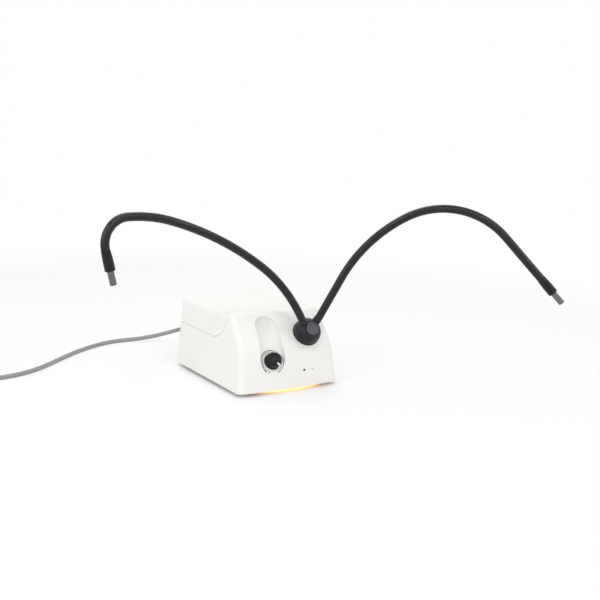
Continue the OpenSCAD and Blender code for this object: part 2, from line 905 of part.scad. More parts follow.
module halogen_reflector() {
    steps = [for (k = [0:10]) lamp_l * k / 10];
    color("#c9c4b4")
        port_frame() translate([0, 0, rim_z])
            rotate([180, 0, 0]) {
                rotate_extrude()
                    polygon(concat(
                        [[lamp_d / 2 - 2 - glass_t, 0], [lamp_d / 2, 0], [lamp_d / 2, rim_t]],
                        [for (u = steps) if (u > rim_t) [bowl_r(u), u]],
                        [[5, lamp_l], [5, lamp_l - 6]],
                        [for (k = [9:-1:0]) if (steps[k] < lamp_l - 6) [bowl_r(steps[k]) - glass_t, steps[k]]]
                    ));
                translate([-8, -5, lamp_l - eps]) cube([16, 10, 6]);
                for (s = [-1, 1]) translate([s * 2.7, 0, lamp_l]) cylinder(d = 1.5, h = 11);
            }
}

module lamp_capsule() {
    color("#f4ecd0", 0.6)
        port_frame() translate([0, 0, rim_z])
            rotate([180, 0, 0]) {
                translate([0, 0, capsule_z]) cylinder(d = capsule_d, h = lamp_l - capsule_z - 2 * eps);
                translate([0, 0, capsule_z]) sphere(d = capsule_d);
            }
}

module lamp_socket() {
    color("#e6e2d6")
        port_frame() translate([0, 0, rim_z])
            rotate([180, 0, 0])
                difference() {
                    translate([-9, -6, lamp_l + 6]) cube([18, 12, 7]);
                    for (s = [-1, 1]) translate([s * 2.7, 0, lamp_l]) cylinder(d = 1.7, h = 20);
                }
}

// ---- light guide head --------------------------------------------------------------------

head_z = ring_t + seat_gap;
dome_r = head_d / 2 - 0.1;
cap_tilt = 13;
cap_h = 15;
cap_d = 18;
cap_t = 4;
cap_edge = 1.2;
cap_seat = 0.8;
boot_tilt = 46;
boot_splay = 50;
boot_root = 8;
boot_l = 30;
boot_d = 12.6;
boot_end_d = hose_d + 0.4;
neck_l = 4;
ball_r = hose_d / 2 - 0.15;
bundle_d = 14;

module guide_ferrule() {
    color("#bfc3c7")
        port_frame()
            ring(ferrule_d, bundle_d + 0.1, head_z - ferrule_l, head_z);
}

module common_bundle() {
    color("#e9e4d0")
        port_frame() translate([0, 0, head_z - ferrule_l]) cylinder(d = bundle_d, h = ferrule_l);
}

// Frame at a boot's root, z along the boot. side is -1 on the left, 1 on the right.
module boot_frame(side) {
    port_frame() translate([0, 0, boot_root])
        rotate(-side * boot_splay) rotate([-boot_tilt, 0, 0]) children();
}

// Frame on the flat of the dome that carries the cap, z outwards. It looks lower than the port.
module cap_frame() {
    port_frame() translate([0, 0, head_z]) rotate([cap_tilt, 0, 0]) translate([0, 0, cap_h]) children();
}

module guide_head() {
    color("#1b1c1e")
        difference() {
            union() {
                difference() {
                    port_frame() translate([0, 0, head_z]) sphere(r = dome_r);
                    cap_frame() cylinder(r = dome_r, h = dome_r);
                }
                for (side = [-1, 1])
                    boot_frame(side) {
                        cylinder(d1 = boot_d, d2 = boot_end_d, h = boot_l - neck_l);
                        cylinder(r = ball_r - 0.7, h = boot_l);
                        translate([0, 0, boot_l]) sphere(r = ball_r);
                    }
            }
            cap_frame() translate([0, 0, -cap_seat]) cylinder(d = cap_d + 0.1, h = cap_t + 0.3);
            port_frame() translate([0, 0, head_z - head_d]) cylinder(r = head_d, h = head_d);
        }
}

module head_cap() {
    color("#4b4d52")
        cap_frame() translate([0, 0, -cap_seat])
            rotate_extrude() {
                square([cap_d / 2, cap_t - cap_edge]);
                square([cap_d / 2 - cap_edge, cap_t]);
                translate([cap_d / 2 - cap_edge, cap_t - cap_edge]) circle(cap_edge, $fn = 24);
            }
}

// ---- gooseneck arms --------------------------------------------------------------------------

// Each hose segment is [straight, bend radius, bend angle, straight].
hose_end = 12;
arm_steps = [
    [[0, 219, 24.6, 0], [0, 449, 18.6, 0], [0, 185, 16.7, 0], [5, 30, 102.8, hose_end]],
    [[54, 100, 0, 0], [0, 205, 33, 0], [0, 104.5, 76.5, 0], [70, 100, 0, hose_end]],
];
arm_plan = [171, 39];
arm_rise = [61, 61];
sleeve_l = 24;
sleeve_wall = 0.45;
sleeve_od = 12.4;
tip_d = 8;
tip_seat_d = 7.4;
tip_l = 17;
tip_edge = 0.5;
fibre_d = 5;

// One bend of a round bar: starts at the origin along +Z and turns towards +X.
module bend(r, radius, angle) {
    translate([radius, 0, 0]) rotate([90, 0, 180])
        rotate_extrude(angle = angle, $fn = 96) translate([radius, 0]) circle(r, $fn = 48);
}

module segment_bar(s, r) {
    if (s[0] > 0) cylinder(r = r, h = s[0] + (s[2] > 0 ? 0 : s[3]));
    if (s[2] > 0) translate([0, 0, s[0]]) bend(r, s[1], s[2]);
    if (s[2] > 0 && s[3] > 0) segment_bend_end(s) translate([0, 0, -1]) cylinder(r = r - 0.05, h = s[3] + 1);
}

module segment_bend_end(s) {
    translate([s[1] * (1 - cos(s[2])), 0, s[0] + s[1] * sin(s[2])]) rotate([0, s[2], 0]) children();
}

module segment_end(s) {
    segment_bend_end(s) translate([0, 0, s[3]]) children();
}

// Frame at the start of hose segment k (0 to 3) of an arm, or at its end if k is 4.
module hose_frame(arm, k) {
    steps = arm_steps[arm];
    if (k == 0)
        root_frame(arm) children();
    else
        hose_frame(arm, k - 1) segment_end(steps[k - 1]) children();
}

root_dir = [sin(boot_tilt) * sin(boot_splay), sin(boot_tilt) * cos(boot_splay), cos(boot_tilt)];

// The hoses start at the boots' ball ends and rise in an upright plane of their own.
module root_frame(arm) {
    side = arm == 0 ? -1 : 1;
    d = boot_l * [side * root_dir[0], root_dir[1], root_dir[2]] + [0, 0, boot_root];
    tilt = 90 - slope_tilt;
    p = [d[0], d[1] * cos(tilt) - d[2] * sin(tilt), d[1] * sin(tilt) + d[2] * cos(tilt)];
    translate([port_x + p[0], port_p[0] + p[1], port_p[1] + p[2]])
        rotate([0, 90 - arm_rise[arm], -arm_plan[arm]]) children();
}

module hose(arm, k) {
    s = arm_steps[arm][k];
    color(black)
        hose_frame(arm, k)
            difference() {
                union() {
                    segment_bar(s, hose_d / 2);
                    if (k < 3) segment_end(s) sphere(r = ball_r);
                }
                sphere(r = ball_r + ball_gap);
            }
}

// Frame where a hose enters its end sleeve.
module end_frame(arm) {
    hose_frame(arm, 4) translate([0, 0, -hose_end]) children();
}

module end_sleeve(arm) {
    color("#2a2b2d")
        end_frame(arm)
            difference() {
                rotate_extrude() polygon([
                    [0, 0], [hose_d / 2 + sleeve_wall, 0], [sleeve_od / 2, hose_end + 2],
                    [sleeve_od / 2, sleeve_l - 0.6], [sleeve_od / 2 - 0.6, sleeve_l], [0, sleeve_l],
                ]);
                translate([0, 0, -1]) cylinder(d = hose_d + 0.1, h = hose_end + 1);
                cylinder(d = tip_seat_d, h = sleeve_l + 1);
            }
}

tip_seat_l = sleeve_l - hose_end;
barrel_l = tip_seat_l + tip_l;

module end_tip(arm) {
    color("#c3c6ca")
        end_frame(arm) translate([0, 0, hose_end])
            rotate_extrude() polygon([
                [fibre_d / 2, 0], [tip_seat_d / 2, 0], [tip_seat_d / 2, tip_seat_l], [tip_d / 2, tip_seat_l],
                [tip_d / 2, barrel_l - tip_edge], [tip_d / 2 - tip_edge, barrel_l], [fibre_d / 2, barrel_l],
            ]);
}

module fibre_end(arm) {
    color("#fff3c8")
        end_frame(arm) translate([0, 0, hose_end])
            cylinder(d = fibre_d, h = barrel_l - 0.3);
}

// ---- mains cord ---------------------------------------------------------------------------------

body_gap = 0.3;
connector_l = 25;
relief_l = 30;
connector_y = panel_y + 2 + body_gap;

module cord_connector() {
    color("#55585c")
        translate([inlet_x, connector_y, plug_z]) rotate([-90, 0, 0]) {
            difference() {
                translate([-nose_w / 2, -nose_h / 2, -nose_l]) cube([nose_w, nose_h, nose_l + eps]);
                for (p = pin_at)
                    translate([p[0] - 1.4, -p[1] - 2.4, -nose_l - 1]) cube([2.8, 4.8, nose_l]);
            }
            linear_extrude(connector_l) round_box(nose_w + 3, nose_h + 3, 5);
            translate([0, 0, connector_l - eps])
                cylinder(d1 = 12, d2 = cord_d + 1, h = relief_l + eps);
        }
}

// Route of the cord's free stretch, from the strain relief to the coil.
route = [
    [4, 155.85, 40], [4, 167, 39.6], [3, 183, 37.8], [-1, 201, 33.5], [-9, 219, 27.5],
    [-20, 235, 21], [-34, 250, 14.5], [-50, 263, 9], [-68, 273, 5.4], [-87, 279.5, 3.8],
    [-107, 281, 3.4], [-127, 276.5, 3.4], [-147, 266.5, 3.4], [-167, 253, 3.4], [-187, 237.5, 3.4],
    [-206, 220, 3.4], [-225, 201.5, 3.4], [-243, 183.5, 3.4], [-261, 167.5, 3.4], [-280, 154.5, 3.4],
    [-300, 146, 3.4], [-321, 142, 3.4], [-343, 140.5, 3.4], [-366, 140, 3.4],
];

function unit(v) = v / norm(v);
function ahead(p, k) = unit(p[min(k + 1, len(p) - 1)] - p[max(k - 1, 0)]);

// Points of one ring of n sides about point k of path p.
function ring_pts(p, k, r, n) =
    let (t = ahead(p, k), s = unit(cross(t, [0, 0, 1])), u = cross(s, t))
    [for (j = [0:n - 1]) p[k] + r * (cos((j + 0.5) * 360 / n) * s + sin((j + 0.5) * 360 / n) * u)];

// A round tube swept along path p as one closed solid.
module sweep(p, r, n) {
    rings = [for (k = [0:len(p) - 1]) each ring_pts(p, k, r, n)];
    last = (len(p) - 1) * n;
    polyhedron(rings, concat(
        [for (j = [1:n - 2]) [0, j, j + 1]],
        [for (j = [1:n - 2]) [last, last + j + 1, last + j]],
        [for (k = [0:len(p) - 2], j = [0:n - 1])
            let (a = k * n + j, b = k * n + (j + 1) % n) each [[a, a + n, b], [b, a + n, b + n]]]
    ));
}

module mains_cord() {
    color("#9a9da0") sweep(route, cord_d / 2, 8);
}

// Coil of the unseen length: turns spiral in on the table and out again one layer up.
coil_turns = 5;
coil_pitch = cord_d + 0.75;
coil_r = 39;
coil_steps = 24;
coil_lead = 20;
plug_lead = 56;
coil_p = route[len(route) - 1] - [coil_lead, 0, 0];
coil_c = coil_p + [0, coil_r + coil_pitch * coil_turns / 4, 0];

function coil_radius(t) = coil_r + coil_pitch * (abs(t - coil_turns / 2) - coil_turns / 4);
function coil_climb(t) = coil_pitch * min(1, max(0, (t - coil_turns / 2) * 2 + 0.5));
function coil_pt(t) = coil_c
    + [-coil_radius(t) * sin(360 * t), -coil_radius(t) * cos(360 * t), coil_climb(t)];

coil_path = concat(
    [route[len(route) - 1]],
    [for (k = [0:coil_turns * coil_steps]) coil_pt(k / coil_steps)],
    [coil_pt(coil_turns) - [plug_lead, 0, 0]]
);

// Least distance between parts of the coil that are half a turn or more apart along it.
coil_self_gap = min([
    for (a = [0:len(coil_path) - 1], b = [a + coil_steps / 2:1:len(coil_path) - 1])
        norm(coil_path[a] - coil_path[b])
]) - cord_d;
echo(coil_self_gap = coil_self_gap);

module cord_coil() {
    color("#9a9da0") sweep(coil_path, cord_d / 2, 6);
}

plug_w = 26;
plug_h = 21;
plug_l = 36;
plug_relief = 24;
plug_p = coil_path[len(coil_path) - 1];

module mains_plug() {
    translate(plug_p) rotate([0, -90, 0]) {
        color("#55585c") {
            cylinder(d1 = cord_d + 1, d2 = 11, h = plug_relief + eps);
            translate([0, 0, plug_relief]) linear_extrude(plug_l) round_box(plug_h, plug_w, 4);
        }
        color("#c8b36a") {
            for (s = [-1, 1])
                translate([-3, s * 6.35 - 0.75, plug_relief + plug_l - eps]) cube([6.4, 1.5, 17]);
            translate([5.5, 0, plug_relief + plug_l - eps]) cylinder(d = 4.8, h = 20);
        }
    }
}

// ---- drawing ------------------------------------------------------------------------------------------

housing_shell();
lamp_cover();
hinge_pins();
base_plate();
feet();
base_screws();
rear_panel();
panel_screws();
power_inlet();
fuse_drawer();
switch_body();
switch_rocker();
fan_frame();
fan_impeller();
fan_screws();
transformer_core();
transformer_winding();
transformer_clamp();
control_board();
heat_sink();
board_parts();
potentiometer();
pot_nut();
pot_shaft();
intensity_knob();
power_led();
port_collar();
heat_filter();
filter_holder();
lamp_bracket();
halogen_reflector();
lamp_capsule();
lamp_socket();
guide_adapter();
adapter_screw();
guide_ferrule();
common_bundle();
guide_head();
head_cap();
hose(0, 0);  // left_hose_1
hose(0, 1);  // left_hose_2
hose(0, 2);  // left_hose_3
hose(0, 3);  // left_hose_4
end_sleeve(0);  // left_sleeve
end_tip(0);  // left_tip
fibre_end(0);  // left_fibre_end
hose(1, 0);  // right_hose_1
hose(1, 1);  // right_hose_2
hose(1, 2);  // right_hose_3
hose(1, 3);  // right_hose_4
end_sleeve(1);  // right_sleeve
end_tip(1);  // right_tip
fibre_end(1);  // right_fibre_end
cord_connector();
mains_cord();
cord_coil();
mains_plug();
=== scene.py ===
"""Looks of a fibre optic illuminator: a halogen light source with a two-arm gooseneck guide."""

import json
from math import atan2, cos, pi, radians, sin

import bmesh
import bpy
from mathutils import Matrix, Vector
from mathutils.bvhtree import BVHTree

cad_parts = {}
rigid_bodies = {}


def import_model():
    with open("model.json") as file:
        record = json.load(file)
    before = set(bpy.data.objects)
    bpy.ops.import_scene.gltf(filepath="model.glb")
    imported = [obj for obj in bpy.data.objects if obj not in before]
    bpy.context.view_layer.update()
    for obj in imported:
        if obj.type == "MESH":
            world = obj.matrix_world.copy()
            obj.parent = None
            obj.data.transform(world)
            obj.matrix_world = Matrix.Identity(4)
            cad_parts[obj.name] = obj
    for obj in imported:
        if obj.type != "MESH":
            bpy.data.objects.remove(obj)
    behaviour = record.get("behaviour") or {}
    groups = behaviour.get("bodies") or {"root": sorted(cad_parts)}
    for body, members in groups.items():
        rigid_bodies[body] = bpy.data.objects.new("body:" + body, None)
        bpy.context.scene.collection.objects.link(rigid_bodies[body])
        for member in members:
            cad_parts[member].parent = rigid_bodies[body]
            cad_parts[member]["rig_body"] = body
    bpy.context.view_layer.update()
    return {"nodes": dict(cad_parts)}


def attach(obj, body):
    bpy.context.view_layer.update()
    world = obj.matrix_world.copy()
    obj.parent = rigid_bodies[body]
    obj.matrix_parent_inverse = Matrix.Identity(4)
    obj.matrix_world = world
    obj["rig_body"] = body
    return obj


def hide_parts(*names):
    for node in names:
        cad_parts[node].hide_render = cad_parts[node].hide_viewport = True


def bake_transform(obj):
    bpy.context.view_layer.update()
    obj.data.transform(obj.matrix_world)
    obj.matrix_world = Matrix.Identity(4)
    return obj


MM = 0.001

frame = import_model()
nodes = frame["nodes"]


def mm(x, y, z):
    """A place given in millimetres, in metres."""
    return Vector((x, y, z)) * MM


# ---- camera -------------------------------------------------------------------------

CAMERA_PLACE = mm(-610, -1213, 358)
CAMERA_YAW = -29.5
CAMERA_DOWN = 10.5
CAMERA_LENS = 58.86
CAMERA_SENSOR = 36
CAMERA_NEAR = 0.01

camera_data = bpy.data.cameras.new("camera")
camera_data.lens = CAMERA_LENS
camera_data.sensor_width = CAMERA_SENSOR
camera_data.clip_start = CAMERA_NEAR
camera = bpy.data.objects.new("camera", camera_data)
camera.location = CAMERA_PLACE
camera.rotation_euler = (radians(90 - CAMERA_DOWN), 0, radians(CAMERA_YAW))
bpy.context.scene.collection.objects.link(camera)
bpy.context.scene.camera = camera


# ---- making meshes ------------------------------------------------------------------

# degrees between faces, above which an edge is sharp
SHARP = 35
# metres within which two vertices are one
WELD = 1e-7


def add(name, data):
    """A new object at the origin, in the scene."""
    obj = bpy.data.objects.new(name, data)
    bpy.context.scene.collection.objects.link(obj)
    return obj


def smooth_faces(mesh, sharp):
    """Smooth shading, with sharp edges above an angle in degrees."""
    mesh.polygons.foreach_set("use_smooth", [True] * len(mesh.polygons))
    mesh.set_sharp_from_angle(angle=radians(sharp))
    mesh.update()


def from_bmesh(name, bm, sharp=SHARP):
    """Turns a finished bmesh into an object whose faces point outwards."""
    bmesh.ops.recalc_face_normals(bm, faces=bm.faces)
    mesh = bpy.data.meshes.new(name)
    bm.to_mesh(mesh)
    bm.free()
    smooth_faces(mesh, sharp)
    return add(name, mesh)


def connected(start):
    """Every vertex joined by edges to the given ones."""
    found, queue = set(start), list(start)
    while queue:
        for e in queue.pop().link_edges:
            for v in e.verts:
                if v not in found:
                    found.add(v)
                    queue.append(v)
    return found


def stacked_rings(bm, sides, count):
    """Circles of radius 1 at heights 0, 1, 2 and so on, joined by faces; gives their vertices."""
    ring = bmesh.ops.create_circle(bm, cap_ends=False, radius=1, segments=sides)["verts"]
    edges = list({e for v in ring for e in v.link_edges})
    bmesh.ops.spin(bm, geom=ring + edges, cent=(0, 0, 0), axis=(0, 0, 1), dvec=(0, 0, 1),
                   angle=0, steps=count - 1, use_merge=False)
    return connected(ring)


def turned(bm, profile, place=Matrix(), sides=72, shape=None):
    """A turned piece through (radius, height) points in mm, about place's Z axis.

    shape(r, z, turn) may change a radius on its way round.
    """
    verts = stacked_rings(bm, sides, len(profile))
    for v in verts:
        r, z = profile[round(v.co.z)]
        turn = atan2(v.co.y, v.co.x)
        if shape and r > 0:
            r = shape(r, z, turn)
        v.co = place @ mm(r * cos(turn), r * sin(turn), z)
    bmesh.ops.remove_doubles(bm, verts=list(verts), dist=WELD)


def tube(bm, places, radius, sides):
    """A closed tube through a row of frames; radius(j, turn) gives the radius of ring j in mm."""
    verts = stacked_rings(bm, sides, len(places))
    ends = {e for v in verts for e in v.link_edges if e.is_boundary}
    bmesh.ops.holes_fill(bm, edges=list(ends), sides=0)
    for v in verts:
        j = round(v.co.z)
        turn = atan2(v.co.y, v.co.x)
        r = radius(j, turn) * MM
        v.co = places[j] @ Vector((r * cos(turn), r * sin(turn), 0))


def block(bm, low, high, place=Matrix(), round_edges=0.0, segments=3):
    """A box between two corners in mm, with its edges rounded."""
    low, high = Vector(low) * MM, Vector(high) * MM
    box = Matrix.Translation((low + high) / 2) @ Matrix.Diagonal((*(high - low), 1))
    verts = bmesh.ops.create_cube(bm, size=1, matrix=box)["verts"]
    if round_edges:
        edges = {e for v in verts for e in v.link_edges}
        rounded = bmesh.ops.bevel(
            bm, geom=list(edges), offset=round_edges * MM, segments=segments,
            affect="EDGES", profile=0.5, material=-1, clamp_overlap=True,
        )
        corners = {v for v in verts if v.is_valid}
        verts = list({v for f in rounded["faces"] for v in f.verts} | corners)
    bmesh.ops.transform(bm, matrix=place, verts=verts)


# ---- node groups ----------------------------------------------------------------------

# a colour Mix node's sockets
MIX_A = 6
MIX_B = 7
MIX_RESULT = 2


def new_group(name, inputs, outputs):
    """A shader node group; inputs are (name, kind, value) and outputs (name, kind)."""
    group = bpy.data.node_groups.new(name, "ShaderNodeTree")
    for label, kind, value in inputs:
        socket = group.interface.new_socket(name=label, in_out="INPUT", socket_type="NodeSocket" + kind)
        socket.default_value = value
    for label, kind in outputs:
        group.interface.new_socket(name=label, in_out="OUTPUT", socket_type="NodeSocket" + kind)
    return group, group.nodes.new("NodeGroupInput"), group.nodes.new("NodeGroupOutput")


def place_group(tree, group, **values):
    """A node group in a material, with its own values."""
    made = tree.nodes.new("ShaderNodeGroup")
    made.node_tree = group
    for key, value in values.items():
        made.inputs[key.replace("_", " ").capitalize()].default_value = value
    return made


def node(tree, kind, **values):
    """A shader node of one kind, with its settings."""
    made = tree.nodes.new("ShaderNode" + kind)
    for key, value in values.items():
        setattr(made, key, value)
    return made


def feed(tree, socket, value):
    """Links a socket into another, or sets it to a plain value."""
    if isinstance(value, bpy.types.NodeSocket):
        tree.links.new(value, socket)
    else:
        socket.default_value = value


def math_node(tree, operation, a, b):
    """Result of an operation on two numbers or sockets."""
    made = node(tree, "Math", operation=operation)
    feed(tree, made.inputs[0], a)
    feed(tree, made.inputs[1], b)
    return made.outputs[0]


def noise(tree, vector, scale, detail, roughness=0.55):
    """Noise over a vector."""
    made = node(tree, "TexNoise")
    made.inputs["Detail"].default_value = detail
    made.inputs["Roughness"].default_value = roughness
    feed(tree, made.inputs["Scale"], scale)
    tree.links.new(vector, made.inputs["Vector"])
    return made.outputs["Fac"]


def solid(colour):
    """A colour with full alpha."""
    return (*colour, 1)


def mix_colour(tree, factor, a, b):
    """Mix of two colours or colour sockets by a socket."""
    made = node(tree, "Mix", data_type="RGBA")
    tree.links.new(factor, made.inputs["Factor"])
    feed(tree, made.inputs[MIX_A], a)
    feed(tree, made.inputs[MIX_B], b)
    return made.outputs[MIX_RESULT]


def remap(tree, value, low, high):
    """A 0 to 1 socket, stretched from low to high."""
    made = node(tree, "MapRange")
    tree.links.new(value, made.inputs["Value"])
    made.inputs["To Min"].default_value = low
    made.inputs["To Max"].default_value = high
    return made.outputs["Result"]


GRAIN_SCALE = 2500.0
PATCH_SCALE = 25.0
DUST_SCALE = 420.0
DUST_DETAIL = 6.0
DUST_ROUGHNESS = 0.7
DUST_CONTRAST = 3.0
DUST_COLOUR = (0.62, 0.6, 0.56)
ALONG_Y = (1.0, 0.02, 1.0)


def make_grain_group():
    """Fine grain of a moulded surface, with slow patches of colour and gloss."""
    group, into, out = new_group(
        "surface_grain",
        [("Grain scale", "Float", GRAIN_SCALE), ("Patch scale", "Float", PATCH_SCALE)],
        [("Grain", "Float"), ("Patches", "Float")],
    )
    coords = node(group, "TexCoord").outputs["Object"]
    group.links.new(noise(group, coords, into.outputs["Grain scale"], 2.0), out.inputs["Grain"])
    group.links.new(noise(group, coords, into.outputs["Patch scale"], 4.0), out.inputs["Patches"])
    return group


def make_dust_group():
    """Pale dust that settles on faces that look up."""
    group, into, out = new_group(
        "settled_dust",
        [("Amount", "Float", 0.3)],
        [("Dust", "Float")],
    )
    geometry = node(group, "NewGeometry")
    parts = node(group, "SeparateXYZ")
    group.links.new(geometry.outputs["Normal"], parts.inputs[0])
    up = math_node(group, "MAXIMUM", parts.outputs["Z"], 0.0)
    coords = node(group, "TexCoord").outputs["Object"]
    cloud = noise(group, coords, DUST_SCALE, DUST_DETAIL, DUST_ROUGHNESS)
    specks = math_node(group, "POWER", cloud, DUST_CONTRAST)
    dust = math_node(group, "MULTIPLY", math_node(group, "MULTIPLY", up, specks), into.outputs["Amount"])
    group.links.new(dust, out.inputs["Dust"])
    return group


def make_brush_group():
    """Long lines of a brushed metal, or of laminations and windings, along one axis."""
    group, into, out = new_group(
        "brushed_lines",
        [("Lines", "Float", 1500.0), ("Stretch", "Vector", ALONG_Y)],
        [("Lines", "Float")],
    )
    coords = node(group, "TexCoord").outputs["Object"]
    scaled = node(group, "VectorMath", operation="MULTIPLY")
    group.links.new(coords, scaled.inputs[0])
    group.links.new(into.outputs["Stretch"], scaled.inputs[1])
    group.links.new(noise(group, scaled.outputs[0], into.outputs["Lines"], 3.0), out.inputs["Lines"])
    return group


GRAIN = make_grain_group()
DUST = make_dust_group()
BRUSH = make_brush_group()


# ---- materials ------------------------------------------------------------------------


def surface(name, colour, other, rough, bump=0.2, grain_scale=GRAIN_SCALE, patch_scale=PATCH_SCALE,
            depth=0.0001, dust=0.0, metal=0.0, brush=None, sheen=0.0, coat=0.0, coat_rough=0.1,
            specular=None):
    """A material with grain, patches of two colours, gloss that varies, and dust.

    rough is (least, most), and brush is (lines, stretch) of the brushed lines.
    """
    material = bpy.data.materials.new(name)
    material.use_nodes = True
    tree = material.node_tree
    shader = tree.nodes["Principled BSDF"]
    grain = place_group(tree, GRAIN, grain_scale=grain_scale, patch_scale=patch_scale)
    tint = mix_colour(tree, grain.outputs["Patches"], solid(colour), solid(other))
    gloss = remap(tree, grain.outputs["Patches"], *rough)
    height = grain.outputs["Grain"]
    if brush:
        lines = place_group(tree, BRUSH, lines=brush[0], stretch=brush[1])
        height = lines.outputs[0]
        gloss = remap(tree, lines.outputs[0], *rough)
    if dust:
        settled = place_group(tree, DUST, amount=dust)
        tint = mix_colour(tree, settled.outputs["Dust"], tint, solid(DUST_COLOUR))
    tree.links.new(tint, shader.inputs["Base Color"])
    tree.links.new(gloss, shader.inputs["Roughness"])
    raised = node(tree, "Bump")
    raised.inputs["Strength"].default_value = bump
    raised.inputs["Distance"].default_value = depth
    tree.links.new(height, raised.inputs["Height"])
    tree.links.new(raised.outputs[0], shader.inputs["Normal"])
    shader.inputs["Metallic"].default_value = metal
    shader.inputs["Sheen Weight"].default_value = sheen
    shader.inputs["Coat Weight"].default_value = coat
    shader.inputs["Coat Roughness"].default_value = coat_rough
    if specular is not None:
        shader.inputs["Specular IOR Level"].default_value = specular
    return material


GLASS_IOR = 1.47


def glass(name, colour, rough, weight=0.9, glow=None):
    """Clear or tinted glass; glow is (colour, strength) of a warm light in it."""
    material = surface(name, colour, colour, (rough, rough + 0.03), bump=0.05)
    shader = material.node_tree.nodes["Principled BSDF"]
    shader.inputs["Transmission Weight"].default_value = weight
    shader.inputs["IOR"].default_value = GLASS_IOR
    if glow:
        shader.inputs["Emission Color"].default_value = solid(glow[0])
        shader.inputs["Emission Strength"].default_value = glow[1]
    return material


MATERIALS = {
    "housing_white": surface(
        "moulded_white", (0.89, 0.875, 0.835), (0.86, 0.845, 0.805), (0.38, 0.5), bump=0.25,
        grain_scale=1600.0, patch_scale=14.0),
    "base_grey": surface("moulded_grey", (0.6, 0.59, 0.56), (0.55, 0.54, 0.51), (0.45, 0.6), bump=0.3),
    "rubber_black": surface(
        "head_rubber", (0.009, 0.01, 0.012), (0.015, 0.016, 0.019), (0.32, 0.46), bump=0.35,
        grain_scale=1300.0, dust=0.1, sheen=0.05, specular=0.24),
    "plastic_black": surface(
        "black_plastic", (0.006, 0.006, 0.007), (0.011, 0.011, 0.012), (0.3, 0.42), dust=0.03,
        specular=0.2),
    "steel": surface(
        "plated_steel", (0.62, 0.62, 0.61), (0.5, 0.5, 0.49), (0.22, 0.4), bump=0.1, metal=1.0),
    "panel_grey": surface(
        "panel_paint", (0.3, 0.31, 0.33), (0.26, 0.27, 0.29), (0.45, 0.6), bump=0.5, grain_scale=1100.0),
    "aluminium": surface(
        "turned_aluminium", (0.66, 0.67, 0.69), (0.55, 0.56, 0.58), (0.25, 0.42), metal=1.0,
        brush=(1400.0, ALONG_Y)),
    "anodised_black": surface(
        "black_anodised", (0.01, 0.01, 0.011), (0.017, 0.017, 0.018), (0.16, 0.25), bump=0.15,
        metal=0.3, specular=0.28),
    "hose_black": surface(
        "gooseneck_black", (0.006, 0.006, 0.007), (0.01, 0.01, 0.011), (0.15, 0.24), bump=0.15,
        dust=0.03, specular=0.33),
    "cap_grey": surface(
        "cap_plastic", (0.05, 0.053, 0.062), (0.069, 0.072, 0.082), (0.35, 0.5), bump=0.25, dust=0.2,
        specular=0.4),
    "tip_metal": surface(
        "polished_tip", (0.2, 0.196, 0.188), (0.13, 0.128, 0.123), (0.1, 0.22), metal=1.0,
        brush=(900.0, (0.05, 0.05, 3.0))),
    "reflector": surface(
        "dichroic_mirror", (0.8, 0.77, 0.7), (0.66, 0.62, 0.7), (0.06, 0.14), metal=1.0,
        grain_scale=500.0),
    "ceramic": surface(
        "socket_ceramic", (0.78, 0.75, 0.68), (0.7, 0.67, 0.6), (0.6, 0.75), bump=0.5, grain_scale=900.0),
    "core_steel": surface(
        "core_laminations", (0.11, 0.12, 0.14), (0.2, 0.2, 0.21), (0.35, 0.55), bump=0.6, metal=0.3,
        brush=(1.0, (0.0, 2200.0, 0.0))),
    "winding": surface(
        "taped_winding", (0.5, 0.33, 0.12), (0.62, 0.45, 0.2), (0.35, 0.5), bump=0.5,
        brush=(1.0, (0.0, 0.0, 1600.0))),
    "board_green": surface(
        "board_green", (0.03, 0.16, 0.06), (0.05, 0.22, 0.09), (0.25, 0.4), bump=0.3, grain_scale=700.0),
    "parts_dark": surface("part_cases", (0.03, 0.03, 0.035), (0.06, 0.06, 0.065), (0.35, 0.55)),
    "led_lens": surface(
        "indicator_lens", (0.03, 0.035, 0.028), (0.04, 0.05, 0.035), (0.1, 0.2), coat=0.5),
    "cord_grey": surface(
        "cord_jacket", (0.25, 0.257, 0.268), (0.3, 0.307, 0.318), (0.42, 0.55), bump=0.3,
        grain_scale=1500.0),
    "mark_white": surface("pointer_white", (0.85, 0.85, 0.86), (0.8, 0.8, 0.81), (0.35, 0.45)),
    "mark_grey": surface("printed_grey", (0.025, 0.025, 0.028), (0.04, 0.04, 0.043), (0.4, 0.5)),
    "mark_pale": surface("printed_pale_grey", (0.3, 0.3, 0.31), (0.36, 0.36, 0.37), (0.4, 0.5)),
    "plug_grey": surface(
        "plug_rubber", (0.19, 0.195, 0.205), (0.24, 0.245, 0.255), (0.45, 0.6), bump=0.35,
        grain_scale=1200.0),
    "filter_glass": glass("heat_glass", (0.62, 0.86, 0.88), 0.02),
    "lamp_glass": glass("quartz_glass", (0.98, 0.93, 0.8), 0.03, 0.5, ((1.0, 0.72, 0.36), 2.0)),
    "fibre": glass("polished_fibre", (0.98, 0.96, 0.88), 0.05, 0.3, ((1.0, 0.96, 0.86), 2.5)),
}


def paint(obj, slot):
    """Gives a piece the material of a slot."""
    obj.data.materials.clear()
    obj.data.materials.append(MATERIALS[slot])
    return obj


def ride_on(obj, body, slot, *replaced):
    """Gives a finished piece its body and its finish, and hides the CAD nodes that it stands for."""
    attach(obj, body)
    if replaced:
        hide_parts(*replaced)
    return paint(obj, slot)


# ---- the arms' centre lines -----------------------------------------------------------

PORT = mm(30, -97, 74)
PORT_TILT = 51.5
KNOB = mm(-24, -102.2857, 42.4187)
KNOB_TILT = 57

port_frame = Matrix.Translation(PORT) @ Matrix.Rotation(radians(PORT_TILT), 4, "X")
knob_frame = Matrix.Translation(KNOB) @ Matrix.Rotation(radians(KNOB_TILT), 4, "X")

